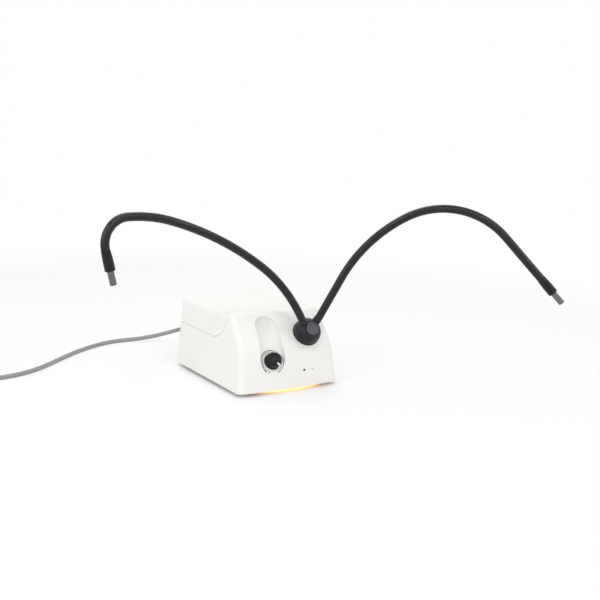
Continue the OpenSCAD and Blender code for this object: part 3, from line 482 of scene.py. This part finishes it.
HEAD_Z = 4.3
BOOT_ROOT = 8
BOOT_LENGTH = 30
BOOT_TILT = 46
BOOT_SPLAY = 50
SIDES = ("left", "right")
ARM_PLAN = (171, 39)
ARM_RISE = (61, 61)
# each stretch of an arm is straight, then a bend of a radius and an angle, then straight
ARM_STEPS = (
    ((0, 219, 24.6, 0), (0, 449, 18.6, 0), (0, 185, 16.7, 0), (5, 30, 102.8, 12)),
    ((54, 100, 0, 0), (0, 205, 33, 0), (0, 104.5, 76.5, 0), (70, 100, 0, 12)),
)
HOSE_END = 12


def boot_frame(arm):
    """Where a boot leaves the head, with Z along it."""
    side = -1 if arm == 0 else 1
    return (
        port_frame
        @ Matrix.Translation((0, 0, BOOT_ROOT * MM))
        @ Matrix.Rotation(radians(-side * BOOT_SPLAY), 4, "Z")
        @ Matrix.Rotation(radians(-BOOT_TILT), 4, "X")
    )


def root_frame(arm):
    """Where an arm starts, at the end of its boot, with Z along the hose."""
    start = (boot_frame(arm) @ Matrix.Translation((0, 0, BOOT_LENGTH * MM))).translation
    return (
        Matrix.Translation(start)
        @ Matrix.Rotation(radians(-ARM_PLAN[arm]), 4, "Z")
        @ Matrix.Rotation(radians(90 - ARM_RISE[arm]), 4, "Y")
    )


def step_frame(step, s):
    """Frame at distance s (mm) along one stretch of an arm."""
    before, radius, angle, _ = step
    if s <= before:
        return Matrix.Translation((0, 0, s * MM))
    bent = min((s - before) / radius, radians(angle))
    along = Vector((radius * (1 - cos(bent)), 0, before + radius * sin(bent))) * MM
    rest = max(0.0, s - before - radius * radians(angle))
    return (
        Matrix.Translation(along)
        @ Matrix.Rotation(bent, 4, "Y")
        @ Matrix.Translation((0, 0, rest * MM))
    )


def step_length(step):
    """Length of one stretch of an arm, in mm."""
    before, radius, angle, after = step
    return before + radius * radians(angle) + after


def arm_frame(arm, s):
    """Frame at distance s (mm) from the boot along an arm, which is straight before and after it."""
    place = root_frame(arm)
    if s < 0:
        return place @ Matrix.Translation((0, 0, s * MM))
    *stretches, last = ARM_STEPS[arm]
    for step in stretches:
        length = step_length(step)
        if s <= length:
            return place @ step_frame(step, s)
        s -= length
        place = place @ step_frame(step, length)
    length = step_length(last)
    past = max(0.0, s - length)
    return place @ step_frame(last, min(s, length)) @ Matrix.Translation((0, 0, past * MM))


def arm_joints(arm):
    """Distances of the four joints and of the end along an arm."""
    at = [0.0]
    for step in ARM_STEPS[arm]:
        at.append(at[-1] + step_length(step))
    return at


# ---- mains cord -----------------------------------------------------------------------

CORD_ROUTE = (
    (4, 155.85, 40), (4, 167, 39.6), (3, 183, 37.8), (-1, 201, 33.5), (-9, 219, 27.5),
    (-20, 235, 21), (-34, 250, 14.5), (-50, 263, 9), (-68, 273, 5.4), (-87, 279.5, 3.8),
    (-107, 281, 3.4), (-127, 276.5, 3.4), (-147, 266.5, 3.4), (-167, 253, 3.4), (-187, 237.5, 3.4),
    (-206, 220, 3.4), (-225, 201.5, 3.4), (-243, 183.5, 3.4), (-261, 167.5, 3.4), (-280, 154.5, 3.4),
    (-300, 146, 3.4), (-321, 142, 3.4), (-343, 140.5, 3.4), (-366, 140, 3.4),
)
ROUTE_STEPS = 6
CORD_D = 6.5
COIL_TURNS = 5
COIL_PITCH = CORD_D + 0.75
COIL_R = 39
COIL_STEPS = 48
COIL_LEAD = 20
PLUG_LEAD = 56


def smooth_line(points, steps):
    """Points of a smooth curve through the given ones."""
    line = []
    for k in range(len(points) - 1):
        a, b = Vector(points[max(k - 1, 0)]), Vector(points[k])
        c, d = Vector(points[k + 1]), Vector(points[min(k + 2, len(points) - 1)])
        for j in range(steps):
            t = j / steps
            line.append(0.5 * (2 * b + (c - a) * t + (2 * a - 5 * b + 4 * c - d) * t * t
                               + (3 * b - a - 3 * c + d) * t * t * t))
    line.append(Vector(points[-1]))
    return line


def coil_point(centre, t):
    """Place after t turns of the coil, which winds in, climbs one layer and winds out again."""
    radius = COIL_R + COIL_PITCH * (abs(t - COIL_TURNS / 2) - COIL_TURNS / 4)
    climb = COIL_PITCH * min(1.0, max(0.0, (t - COIL_TURNS / 2) * 2 + 0.5))
    return centre + Vector((-radius * sin(2 * pi * t), -radius * cos(2 * pi * t), climb))


def cord_line():
    """Whole centre line of the cord, in mm: the free stretch, the coil and the plug's lead."""
    line = smooth_line(CORD_ROUTE, ROUTE_STEPS)
    start = Vector(CORD_ROUTE[-1]) - Vector((COIL_LEAD, 0, 0))
    centre = start + Vector((0, COIL_R + COIL_PITCH * COIL_TURNS / 4, 0))
    count = COIL_TURNS * COIL_STEPS
    line += [coil_point(centre, k / COIL_STEPS) for k in range(count + 1)]
    line.append(line[-1] - Vector((PLUG_LEAD, 0, 0)))
    return line


def make_cord():
    """The mains cord, from the connector to its plug."""
    line = cord_line()
    curve = bpy.data.curves.new("mains_flex", "CURVE")
    curve.dimensions = "3D"
    spline = curve.splines.new("POLY")
    spline.points.add(len(line) - 1)
    # a point's radius scales the bevel, and the curve's bounds lie that far from its line
    for point, place in zip(spline.points, line):
        point.co = (*(place * MM), 1)
        point.radius = CORD_D / 2 * MM
    curve.bevel_depth = 1
    curve.bevel_resolution = 6
    curve.use_fill_caps = True
    obj = add("mains_flex", curve)
    ride_on(obj, "housing", "cord_grey", "mains_cord", "cord_coil")
    make_plug(line[-1]) + [make_connector()]


RELIEF_PITCH = 3.0
RELIEF_SIDES = 32
# one ring of a strain relief: share of its length, depth of the cut
RELIEF_RING = ((0.0, 0.0), (0.55, 0.0), (0.65, 0.9), (0.9, 0.9))
RELIEF_FIRST_CUT = 0.35
RELIEF_CUT = 0.6


def ribbed_relief(bm, place, length, thick, thin):
    """A tapered strain relief with rings cut into it, along place's Z axis."""
    profile = [(0, 0)]
    rings = round(length / RELIEF_PITCH)
    for k in range(rings):
        deep = RELIEF_CUT if k else RELIEF_FIRST_CUT
        for share, cut in RELIEF_RING:
            t = (k + share) / rings
            profile.append((thick + (thin - thick) * t - cut * deep, t * length))
    profile += [(thin, length), (0, length)]
    turned(bm, profile, place, RELIEF_SIDES)


CONNECTOR = mm(4, 100.69, 40)
CONNECTOR_LENGTH = 25
CONNECTOR_HALF = 13.5
CONNECTOR_GRIPS = (8, 11.6, 15.2, 18.8)
RELIEF_LENGTH = 30
RELIEF_THICK = 6
RELIEF_THIN = 3.7


def make_connector():
    """The socket that pushes into the power inlet, with its strain relief."""
    place = Matrix.Translation(CONNECTOR) @ Matrix.Rotation(radians(-90), 4, "X")
    bm = bmesh.new()
    block(bm, (-12, -8, -14.9), (12, 8, 0.5), place, 0.8)
    block(bm, (-CONNECTOR_HALF, -9.5, 0), (CONNECTOR_HALF, 9.5, CONNECTOR_LENGTH), place, 3.2, 5)
    for z in CONNECTOR_GRIPS:
        for x in (-CONNECTOR_HALF, CONNECTOR_HALF):
            block(bm, (x - 0.35, -6, z), (x + 0.35, 6, z + 1.8), place, 0.3, 2)
    relief = place @ Matrix.Translation((0, 0, (CONNECTOR_LENGTH - 1) * MM))
    ribbed_relief(bm, relief, RELIEF_LENGTH + 1, RELIEF_THICK, RELIEF_THIN)
    return ride_on(from_bmesh("mains_connector", bm), "housing", "plug_grey", "cord_connector")


PLUG_RELIEF = 25
PLUG_RELIEF_THICK = 5.5
PLUG_FACE = 60
PLUG_HALF = 12.8
PLUG_GRIPS = (30, 34, 38, 42, 46)
PIN_SPREAD = 6.35
PIN_DROP = 5.5
EARTH_PIN = ((0, 60), (2.4, 60), (2.4, 78.4), (2.0, 79.4), (1.2, 79.9), (0, 80))


def make_plug(end):
    """Moulded three-pin plug on the far end of the cord: its body and its pins."""
    place = Matrix.Translation(end * MM) @ Matrix.Rotation(radians(-90), 4, "Y")
    bm = bmesh.new()
    relief = place @ Matrix.Translation((0, 0, PLUG_RELIEF * MM)) @ Matrix.Rotation(pi, 4, "X")
    ribbed_relief(bm, relief, PLUG_RELIEF, PLUG_RELIEF_THICK, RELIEF_THIN)
    block(bm, (-10.5, -13, PLUG_RELIEF - 1), (10.5, 13, PLUG_FACE), place, 3.5, 5)
    block(bm, (-9.5, -12, PLUG_FACE - 0.5), (9.5, 12, PLUG_FACE + 0.1), place, 0.4, 2)
    for z in PLUG_GRIPS:
        for y in (-PLUG_HALF, PLUG_HALF):
            block(bm, (-6, y - 0.3, z), (6, y + 0.2, z + 2), place, 0.25, 2)
    body = ride_on(from_bmesh("plug_body", bm), "housing", "plug_grey", "mains_plug")
    bm = bmesh.new()
    for y in (-PIN_SPREAD, PIN_SPREAD):
        block(bm, (-3, y - 0.75, PLUG_FACE), (3.4, y + 0.75, PLUG_FACE + 17), place, 0.4, 2)
    turned(bm, EARTH_PIN, place @ Matrix.Translation((PIN_DROP * MM, 0, 0)), 24)
    pins = ride_on(from_bmesh("plug_pins", bm), "housing", "steel")
    return [body, pins]


make_cord()


# ---- CAD nodes kept as they are, with smooth shading ------------------------------------

CARRIED = {
    "housing_white": ("housing_shell", "lamp_cover"),
    "base_grey": ("base_plate",),
    "rubber_black": ("feet",),
    "steel": (
        "hinge_pins", "base_screws", "panel_screws", "fan_screws", "transformer_clamp", "potentiometer",
        "pot_nut", "pot_shaft", "lamp_bracket", "adapter_screw", "guide_ferrule",
    ),
    "panel_grey": ("rear_panel",),
    "plastic_black": (
        "power_inlet", "fuse_drawer", "switch_body", "switch_rocker", "fan_frame", "fan_impeller",
    ),
    "core_steel": ("transformer_core",),
    "winding": ("transformer_winding",),
    "board_green": ("control_board",),
    "aluminium": ("heat_sink", "port_collar", "filter_holder"),
    "parts_dark": ("board_parts",),
    "led_lens": ("power_led",),
    "filter_glass": ("heat_filter",),
    "reflector": ("halogen_reflector",),
    "lamp_glass": ("lamp_capsule",),
    "ceramic": ("lamp_socket",),
    "anodised_black": ("guide_adapter",),
    "fibre": ("common_bundle",),
}
CARRIED_SHARP = 30
# the housing's curved faces meet its channel and its openings at low angles
HOUSING_SHARP = {"housing_shell": 14, "lamp_cover": 14}
SKIN_WELD = 2e-6
SKIN_FLAT = 0.6
SKIN_WEIGHT = 80


def carried(name, slot, sharp):
    """A merged copy of a CAD node, with whole flat faces, so that its round faces shade smoothly."""
    bm = bmesh.new()
    bm.from_mesh(nodes[name].data)
    bmesh.ops.remove_doubles(bm, verts=bm.verts, dist=SKIN_WELD)
    bmesh.ops.dissolve_limit(bm, angle_limit=radians(SKIN_FLAT), verts=bm.verts, edges=bm.edges)
    mesh = bpy.data.meshes.new(name + "_skin")
    bm.to_mesh(mesh)
    bm.free()
    smooth_faces(mesh, sharp)
    obj = add(name + "_skin", mesh)
    even = obj.modifiers.new("even_shading", "WEIGHTED_NORMAL")
    even.keep_sharp = True
    even.weight = SKIN_WEIGHT
    ride_on(obj, nodes[name]["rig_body"], slot, name)


for slot, names in CARRIED.items():
    for name in names:
        carried(name, slot, HOUSING_SHARP.get(name, CARRIED_SHARP))


# ---- gooseneck hoses --------------------------------------------------------------------

HOSE_D = 10.7
HOSE_SIDES = 56
HOSE_SHARP = 60
# the first stretch starts inside its boot
HOSE_ROOT = -13
RIB_PITCH = 2.4
RIB_DEPTH = 0.18
RIB_STEPS = 6
# half the width of the groove between two ribs, as a share of the pitch
GROOVE_HALF = 0.32
STRANDS = 12
STRAND_DEPTH = 0.07
# length in which the strands turn once round the hose
STRAND_TWIST = 1500
# distances in mm before and after each joint
BEND_REACH = (25, 25)
FIRST_REACH = (1, 24)


def rib_radius(s, turn):
    """Radius of the hose at distance s and angle turn: a helical groove, and slowly twisted strands."""
    phase = (s / RIB_PITCH - turn / (2 * pi)) % 1
    groove = max(0.0, 1 - abs(phase - 0.5) / GROOVE_HALF)
    strand = STRAND_DEPTH * (1 - cos(STRANDS * (turn + 2 * pi * s / STRAND_TWIST)))
    return HOSE_D / 2 - RIB_DEPTH * groove * groove * (3 - 2 * groove) - strand


def hose_piece(arm, k, start, end):
    """The stretch of ribbed hose that crosses joint k, from start to end (mm along the arm)."""
    steps = max(2, round((end - start) / RIB_PITCH * RIB_STEPS))
    at = [start + (end - start) * j / steps for j in range(steps + 1)]
    places = [arm_frame(arm, s) for s in at]
    bm = bmesh.new()
    tube(bm, places, lambda j, turn: rib_radius(at[j], turn), HOSE_SIDES)
    obj = from_bmesh(f"{SIDES[arm]}_gooseneck_{k + 1}", bm, HOSE_SHARP)
    return paint(obj, "hose_black")


def make_hoses():
    """Each arm's four stretches of hose, which follow its bends and meet between its joints."""
    for arm, side in enumerate(SIDES):
        at = arm_joints(arm)
        middles = [(a + b) / 2 for a, b in zip(at[:-2], at[1:-1])]
        cuts = [HOSE_ROOT] + [round(s / RIB_PITCH) * RIB_PITCH for s in middles] + [at[-1]]
        for k, (start, end) in enumerate(zip(cuts, cuts[1:])):
            obj = hose_piece(arm, k, start, end)
            reach = BEND_REACH if k else FIRST_REACH
            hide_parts(f"{side}_hose_{k + 1}")
            arm_frame(arm, at[k] - reach[0]).translation
            arm_frame(arm, at[k] + reach[1]).translation
            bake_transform(obj)


make_hoses()


# ---- light guide head -------------------------------------------------------------------

DOME_R = 18.9
CAP_TILT = 13
CAP_HEIGHT = 15
BOOT_START = 3
BOOT_R = 6.3
BOOT_END_R = 4.7
BOOT_SIDES = 64
# how far a boot keeps its direction at its root and at its end
ROOT_PULL = 10
END_PULL = 15
HEAD_VOXEL = 0.5
CAP_PROFILE = (
    (0, -0.8), (8.9, -0.8), (9, -0.6), (9, 1.9), (8.9, 2.45), (8.65, 2.85), (8.2, 3.13), (7.7, 3.2),
    (7.2, 3.15), (6.9, 2.95), (6.7, 2.6), (6.45, 2.4), (6.1, 2.32), (0, 2.25),
)

head_frame = port_frame @ Matrix.Translation((0, 0, HEAD_Z * MM))
cap_frame = (head_frame @ Matrix.Rotation(radians(CAP_TILT), 4, "X")
             @ Matrix.Translation((0, 0, CAP_HEIGHT * MM)))


def boot_places(arm, steps=24):
    """Frames along a boot, which leaves the dome as moulded and ends in line with its hose."""
    boot, hose = boot_frame(arm), root_frame(arm)
    start = (boot @ Matrix.Translation((0, 0, BOOT_START * MM))).translation
    end = hose.translation
    first_pull = start + boot.to_3x3() @ Vector((0, 0, 1)) * ROOT_PULL * MM
    last_pull = end - hose.to_3x3() @ Vector((0, 0, 1)) * END_PULL * MM
    places = []
    for k in range(steps + 1):
        s = k / steps
        r = 1 - s
        spot = r ** 3 * start + 3 * r * r * s * first_pull + 3 * r * s * s * last_pull + s ** 3 * end
        along = (r * r * (first_pull - start) + 2 * r * s * (last_pull - first_pull)
                 + s * s * (end - last_pull))
        places.append(Matrix.Translation(spot) @ along.to_track_quat("Z", "Y").to_matrix().to_4x4())
    return places


def trim(bm, place, above):
    """Cuts off what lies above or below place's XY plane, and closes the cut."""
    cut = bmesh.ops.bisect_plane(
        bm, geom=bm.verts[:] + bm.edges[:] + bm.faces[:], plane_co=place.translation,
        plane_no=place.to_3x3() @ Vector((0, 0, 1)), clear_inner=not above, clear_outer=above,
    )
    rim = [e for e in cut["geom_cut"] if isinstance(e, bmesh.types.BMEdge)]
    bmesh.ops.holes_fill(bm, edges=rim, sides=0)


def make_head():
    """Soft moulded dome with two boots, run into each other with rounded inner corners."""
    bm = bmesh.new()
    bmesh.ops.create_uvsphere(bm, u_segments=96, v_segments=63, radius=DOME_R * MM, matrix=head_frame)
    trim(bm, head_frame, above=False)
    trim(bm, cap_frame, above=True)
    for arm in range(len(SIDES)):
        places = boot_places(arm)
        last = len(places) - 1
        tube(bm, places, lambda j, turn: BOOT_R + (BOOT_END_R - BOOT_R) * (j / last) ** 2, BOOT_SIDES)
    head = from_bmesh("head_moulding", bm)
    remesh = head.modifiers.new("even_mesh", "REMESH")
    remesh.mode = "VOXEL"
    remesh.voxel_size = HEAD_VOXEL * MM
    remesh.use_smooth_shade = True
    ease = head.modifiers.new("soft_corners", "SMOOTH")
    ease.factor = 0.5
    ease.iterations = 8
    ride_on(head, "guide", "rubber_black", "guide_head")


def make_cap():
    """Round cap on the head, dished inside a raised rim."""
    bm = bmesh.new()
    turned(bm, CAP_PROFILE, cap_frame, 96)
    ride_on(from_bmesh("cap_disc", bm), "guide", "cap_grey", "head_cap")


make_head()
make_cap()


# ---- sleeves, tips and fibre ends -------------------------------------------------------

SLEEVE_PROFILE = (
    (5.4, 12), (5.4, 0), (5.46, 0), (5.5, 0.1), (5.56, 1), (5.64, 2), (5.74, 3.6), (5.88, 6), (5.98, 8),
    (6.07, 10), (6.14, 12), (6.2, 14), (6.2, 18), (6.2, 21.2), (6.2, 22.6), (6.2, 23.1), (6.1, 23.5),
    (5.85, 23.85), (5.6, 24), (3.7, 24), (3.7, 12), (5.4, 12),
)
SLEEVE_SIDES = 160
SLEEVE_FLUTES = 15
SLEEVE_FLUTE_DEPTH = 0.14
# the flutes run between these heights, outside this radius, and fade over these lengths
FLUTES_FROM = 2
FLUTES_TO = 23
FLUTES_R = 5.7
FADE_IN = 3
FADE_OUT = 1.5
TIP_PROFILE = (
    (2.5, 12), (3.7, 12), (3.7, 24), (3.95, 24), (4, 24.05), (4, 40.45), (3.92, 40.68), (3.75, 40.85),
    (3.5, 40.97), (2.75, 41), (2.5, 40.9), (2.5, 12),
)
FIBRE_PROFILE = ((0, 12), (2.49, 12), (2.49, 40.55), (2.35, 40.7), (0, 40.72))


def sleeve_flutes(r, z, turn):
    """Shallow lengthwise grooves on the grip of a sleeve, which fade at both ends."""
    if FLUTES_FROM < z < FLUTES_TO and r > FLUTES_R:
        share = min(1, (z - FLUTES_FROM) / FADE_IN, (FLUTES_TO - z) / FADE_OUT)
        return r - SLEEVE_FLUTE_DEPTH * (1 - cos(SLEEVE_FLUTES * turn)) * share
    return r


def make_ends():
    """On each arm's end a fluted sleeve, a polished tip in it, and the fibres' face in the tip."""
    for arm, side in enumerate(SIDES):
        place = arm_frame(arm, arm_joints(arm)[-1] - HOSE_END)
        body = f"{side}_arm_4"
        bm = bmesh.new()
        turned(bm, SLEEVE_PROFILE, place, SLEEVE_SIDES, sleeve_flutes)
        ride_on(from_bmesh(side + "_end_sleeve", bm), body, "anodised_black", side + "_sleeve")
        bm = bmesh.new()
        turned(bm, TIP_PROFILE, place, 64)
        ride_on(from_bmesh(side + "_end_tip", bm), body, "tip_metal", side + "_tip")
        bm = bmesh.new()
        turned(bm, FIBRE_PROFILE, place, 48)
        ride_on(from_bmesh(side + "_fibre_face", bm), body, "fibre", side + "_fibre_end")


make_ends()


# ---- knob and printed marks -------------------------------------------------------------

KNOB_LIFT = 0.6
KNOB_SIDES = 240
KNOB_PROFILE = (
    (0, 7.2), (3.05, 7.2), (3.05, 3), (7.4, 3), (7.4, 0), (11.0, 0), (11.35, 0.12), (11.5, 0.45),
    (11.5, 1.9), (11.35, 2.25), (10.9, 2.5), (10.66, 2.75), (10.64, 3.0), (10.5, 5.4), (10.36, 7.7),
    (10.3, 8.1), (10.15, 8.5), (9.8, 8.85), (9.3, 9), (8.7, 9), (8.25, 8.85), (7.95, 8.55),
    (7.7, 8.42), (0, 8.4),
)
KNOB_FLUTES = 30
KNOB_FLUTE_DEPTH = 0.42
# the grip, which has the flutes, lies between these heights and outside this radius
GRIP_FROM = 2.9
GRIP_TO = 8.2
GRIP_R = 9
# degrees clockwise from the top of the dial
POINTER_AT = 150
SCALE_START = -140
SCALE_END = 157
OFF_TICK = (-154.3, -150.3)
# the pointer's stroke over the knob's top, rim, side and skirt: low corner, high corner, rounding
POINTER = (
    ((-1.1, 5.4, 8.2), (1.1, 8.3, 8.72), 0.15),
    ((-1.3, 8.0, 8.3), (1.3, 10.1, 9.06), 0.2),
    ((-1.3, 9.9, 2.4), (1.3, 10.82, 8.7), 0.2),
    ((-1.3, 10.6, 0.5), (1.3, 11.58, 2.3), 0.15),
)
# bands around the knob: inner radius at the start and at the end, outer radius, angles, steps
SCALE_BANDS = (
    (15.3, 15.8, 16.5, SCALE_START, SCALE_END, 72),
    (13.6, 13.6, 14.1, SCALE_START, SCALE_END, 72),
    (13.2, 13.2, 15.8, *OFF_TICK, 3),
)
PRINT_LIFT = 0.06
PRINT_THICK = 0.04
# where the rays start that find the housing under a print: above the knob's seat, and in front
ABOVE_KNOB = 20
IN_FRONT = -200
# the lamp sign: width and height of its place on the front, its ring, and its cross's strokes
SIGN_AT = (35, 27)
SIGN_RING = ((1.05, 0.01), (1.35, 0.01), (1.35, 0.05), (1.05, 0.05), (1.05, 0.01))
SIGN_STROKE = ((-1.1, -0.14, 0.01), (1.1, 0.14, 0.045))


def knob_flutes(r, z, turn):
    """Finger grooves on the side of the knob, above its skirt."""
    if GRIP_FROM < z < GRIP_TO and r > GRIP_R:
        return r - KNOB_FLUTE_DEPTH * max(0.0, cos(KNOB_FLUTES * turn)) ** 2
    return r


def make_knob():
    """The dial knob and its white pointer."""
    place = (knob_frame @ Matrix.Translation((0, 0, KNOB_LIFT * MM))
             @ Matrix.Rotation(radians(-POINTER_AT), 4, "Z"))
    bm = bmesh.new()
    turned(bm, KNOB_PROFILE, place, KNOB_SIDES, knob_flutes)
    ride_on(from_bmesh("dial_knob", bm), "knob", "plastic_black", "intensity_knob")
    bm = bmesh.new()
    for low, high, rounding in POINTER:
        block(bm, low, high, place, rounding, 2)
    ride_on(from_bmesh("knob_pointer", bm), "knob", "mark_white")


def shell_tree():
    """The housing's surface, to lay prints on."""
    bm = bmesh.new()
    bm.from_mesh(nodes["housing_shell"].data)
    tree = BVHTree.FromBMesh(bm)
    bm.free()
    return tree


def printed_arc(bm, shell, inner_start, inner_end, outer, start, end, steps):
    """A band printed on the housing around the knob, from one angle to another."""
    inwards = knob_frame.to_3x3() @ Vector((0, 0, -1))
    rows = []
    for k in range(steps + 1):
        t = k / steps
        turn = radians(start + (end - start) * t)
        inner = inner_start + (inner_end - inner_start) * t
        row = []
        for r in (inner, (inner + outer) / 2, outer):
            above = knob_frame @ mm(r * sin(turn), r * cos(turn), ABOVE_KNOB)
            spot, out, _, _ = shell.ray_cast(above, inwards)
            row.append(bm.verts.new(spot + out * PRINT_LIFT * MM))
        rows.append(row)
    for a, b in zip(rows, rows[1:]):
        for k in (0, 1):
            bm.faces.new((a[k], a[k + 1], b[k + 1], b[k]))


def make_scale(shell):
    """The scale printed around the knob: a wide band, a thin one, and the tick for off."""
    bm = bmesh.new()
    for band in SCALE_BANDS:
        printed_arc(bm, shell, *band)
    bmesh.ops.solidify(bm, geom=bm.faces, thickness=PRINT_THICK * MM)
    ride_on(from_bmesh("knob_scale", bm), "housing", "mark_grey")


def on_front(shell, x, z):
    """Place on the front of the housing at a width and a height in mm, with its Z axis outwards."""
    spot, out, _, _ = shell.ray_cast(mm(x, IN_FRONT, z), Vector((0, 1, 0)))
    across = Vector((1, 0, 0)) - out * out.x
    across.normalize()
    turn = Matrix((across, out.cross(across), out)).transposed().to_4x4()
    return Matrix.Translation(spot) @ turn


def make_lamp_sign(shell):
    """Small printed lamp sign beside the indicator: a ring with a cross in it."""
    place = on_front(shell, *SIGN_AT)
    bm = bmesh.new()
    turned(bm, SIGN_RING, place, 32)
    for turn in (45, 135):
        block(bm, *SIGN_STROKE, place @ Matrix.Rotation(radians(turn), 4, "Z"))
    ride_on(from_bmesh("lamp_sign", bm), "housing", "mark_pale")


make_knob()
housing_surface = shell_tree()
make_scale(housing_surface)
make_lamp_sign(housing_surface)


# ---- floor, backdrop and light ----------------------------------------------------------

FLOOR_SIZE = 12
FLOOR_COLOUR = (0.92, 0.925, 0.93)
FLOOR_ROUGH = 0.6
# half sizes of the housing on the table; distances on the floor are measured in them
HOUSING_HALF = (0.075, 0.109)
# the table turns white from just beside the housing, and wholly white far away
NEAR_FADE = (0.9, 2.2)
NEAR_WHITE = 0.62
FAR_FADE = (4, 14)
WHITE = (1, 1, 1)
SKY_COLOUR = (0.97, 0.98, 1.0)
SKY_LIGHT = 0.57
AIM = (0, 0, 0.05)
# name, place, aim, diameter and power
STUDIO_LAMPS = (
    ("key_light", (-1.95, -0.3, 1.2), AIM, 1.3, 10.5),
    ("key_spark", (-0.8, -1.4, 1.7), AIM, 0.2, 4.5),
    ("low_spark", (-1.3, -1.2, 0.5), (0, 0, 0.1), 0.2, 1.2),
    ("front_light", (-0.2, -1.6, 1.4), AIM, 1.2, 5.5),
    ("fill_light", (1.4, -1.2, 1.2), AIM, 1.5, 2.6),
    ("fill_spark", (0.9, -1.3, 1.2), AIM, 0.2, 2.2),
    ("top_light", (0.1, 0.7, 1.9), AIM, 1.5, 10.8),
)
# the halogen lamp's light that falls through the base vents onto the table
VENT_AT = (0.008, -0.083, 0.0048)
VENT_AIM = (0.008, -0.083, 0)
VENT_SIZE = (0.1, 0.04)
VENT_POWER = 0.018
HALOGEN_COLOUR = (1.0, 0.5, 0.15)


def background_rays(tree):
    """1 for the rays that see the background: the camera's, and those that metal and glass send on."""
    path = node(tree, "LightPath").outputs
    sent_on = math_node(tree, "MAXIMUM", path["Is Glossy Ray"], path["Is Transmission Ray"])
    return math_node(tree, "MAXIMUM", path["Is Camera Ray"], sent_on)


def fade(tree, value, span, most):
    """A smooth step from 0 to most, over a span of a socket's value."""
    made = node(tree, "MapRange", interpolation_type="SMOOTHSTEP")
    tree.links.new(value, made.inputs["Value"])
    made.inputs["From Min"].default_value = span[0]
    made.inputs["From Max"].default_value = span[1]
    made.inputs["To Min"].default_value = 0
    made.inputs["To Max"].default_value = most
    return made.outputs["Result"]


def mix_shaders(tree, share, a, b, end):
    """Mixes two shaders' outputs by a share, into the end of a material or world."""
    mixed = node(tree, "MixShader")
    tree.links.new(share, mixed.inputs[0])
    tree.links.new(a.outputs[0], mixed.inputs[1])
    tree.links.new(b.outputs[0], mixed.inputs[2])
    tree.links.new(mixed.outputs[0], tree.nodes[end].inputs["Surface"])


def make_floor():
    """White table that keeps the shadow, most of all close to the housing."""
    bm = bmesh.new()
    bmesh.ops.create_grid(bm, x_segments=1, y_segments=1, size=FLOOR_SIZE)
    floor = from_bmesh("floor", bm)
    material = bpy.data.materials.new("studio_floor")
    material.use_nodes = True
    tree = material.node_tree
    table = tree.nodes["Principled BSDF"]
    table.inputs["Base Color"].default_value = solid(FLOOR_COLOUR)
    table.inputs["Roughness"].default_value = FLOOR_ROUGH
    around = node(tree, "VectorMath", operation="MULTIPLY")
    tree.links.new(node(tree, "TexCoord").outputs["Object"], around.inputs[0])
    around.inputs[1].default_value = (1 / HOUSING_HALF[0], 1 / HOUSING_HALF[1], 0)
    distance = node(tree, "VectorMath", operation="LENGTH")
    tree.links.new(around.outputs[0], distance.inputs[0])
    near = fade(tree, distance.outputs["Value"], NEAR_FADE, NEAR_WHITE)
    far = fade(tree, distance.outputs["Value"], FAR_FADE, 1)
    reach = math_node(tree, "MAXIMUM", near, far)
    glow = node(tree, "Emission")
    glow.inputs["Color"].default_value = solid(WHITE)
    share = math_node(tree, "MULTIPLY", background_rays(tree), reach)
    mix_shaders(tree, share, table, glow, "Material Output")
    floor.data.materials.append(material)


def make_world():
    """Pale studio light from all round, in front of a white background."""
    world = bpy.data.worlds.new("studio")
    bpy.context.scene.world = world
    world.use_nodes = True
    tree = world.node_tree
    light = tree.nodes["Background"]
    light.inputs["Color"].default_value = solid(SKY_COLOUR)
    light.inputs["Strength"].default_value = SKY_LIGHT
    white = node(tree, "Background")
    white.inputs["Color"].default_value = solid(WHITE)
    mix_shaders(tree, background_rays(tree), light, white, "World Output")


def area_light(name, place, aim, size, power, colour=WHITE, depth=None):
    """A round lamp aimed at a point, or an oval one where a depth is given."""
    data = bpy.data.lights.new(name, "AREA")
    data.shape = "ELLIPSE" if depth else "DISK"
    data.size = size
    data.size_y = depth or size
    data.energy = power
    data.color = colour
    lamp = add(name, data)
    lamp.location = place
    lamp.rotation_euler = (Vector(aim) - Vector(place)).to_track_quat("-Z", "Y").to_euler()


make_floor()
make_world()
for lamp in STUDIO_LAMPS:
    area_light(*lamp)
area_light("vent_light", VENT_AT, VENT_AIM, VENT_SIZE[0], VENT_POWER, HALOGEN_COLOUR, VENT_SIZE[1])

scene = bpy.context.scene
scene.view_settings.view_transform = "Standard"
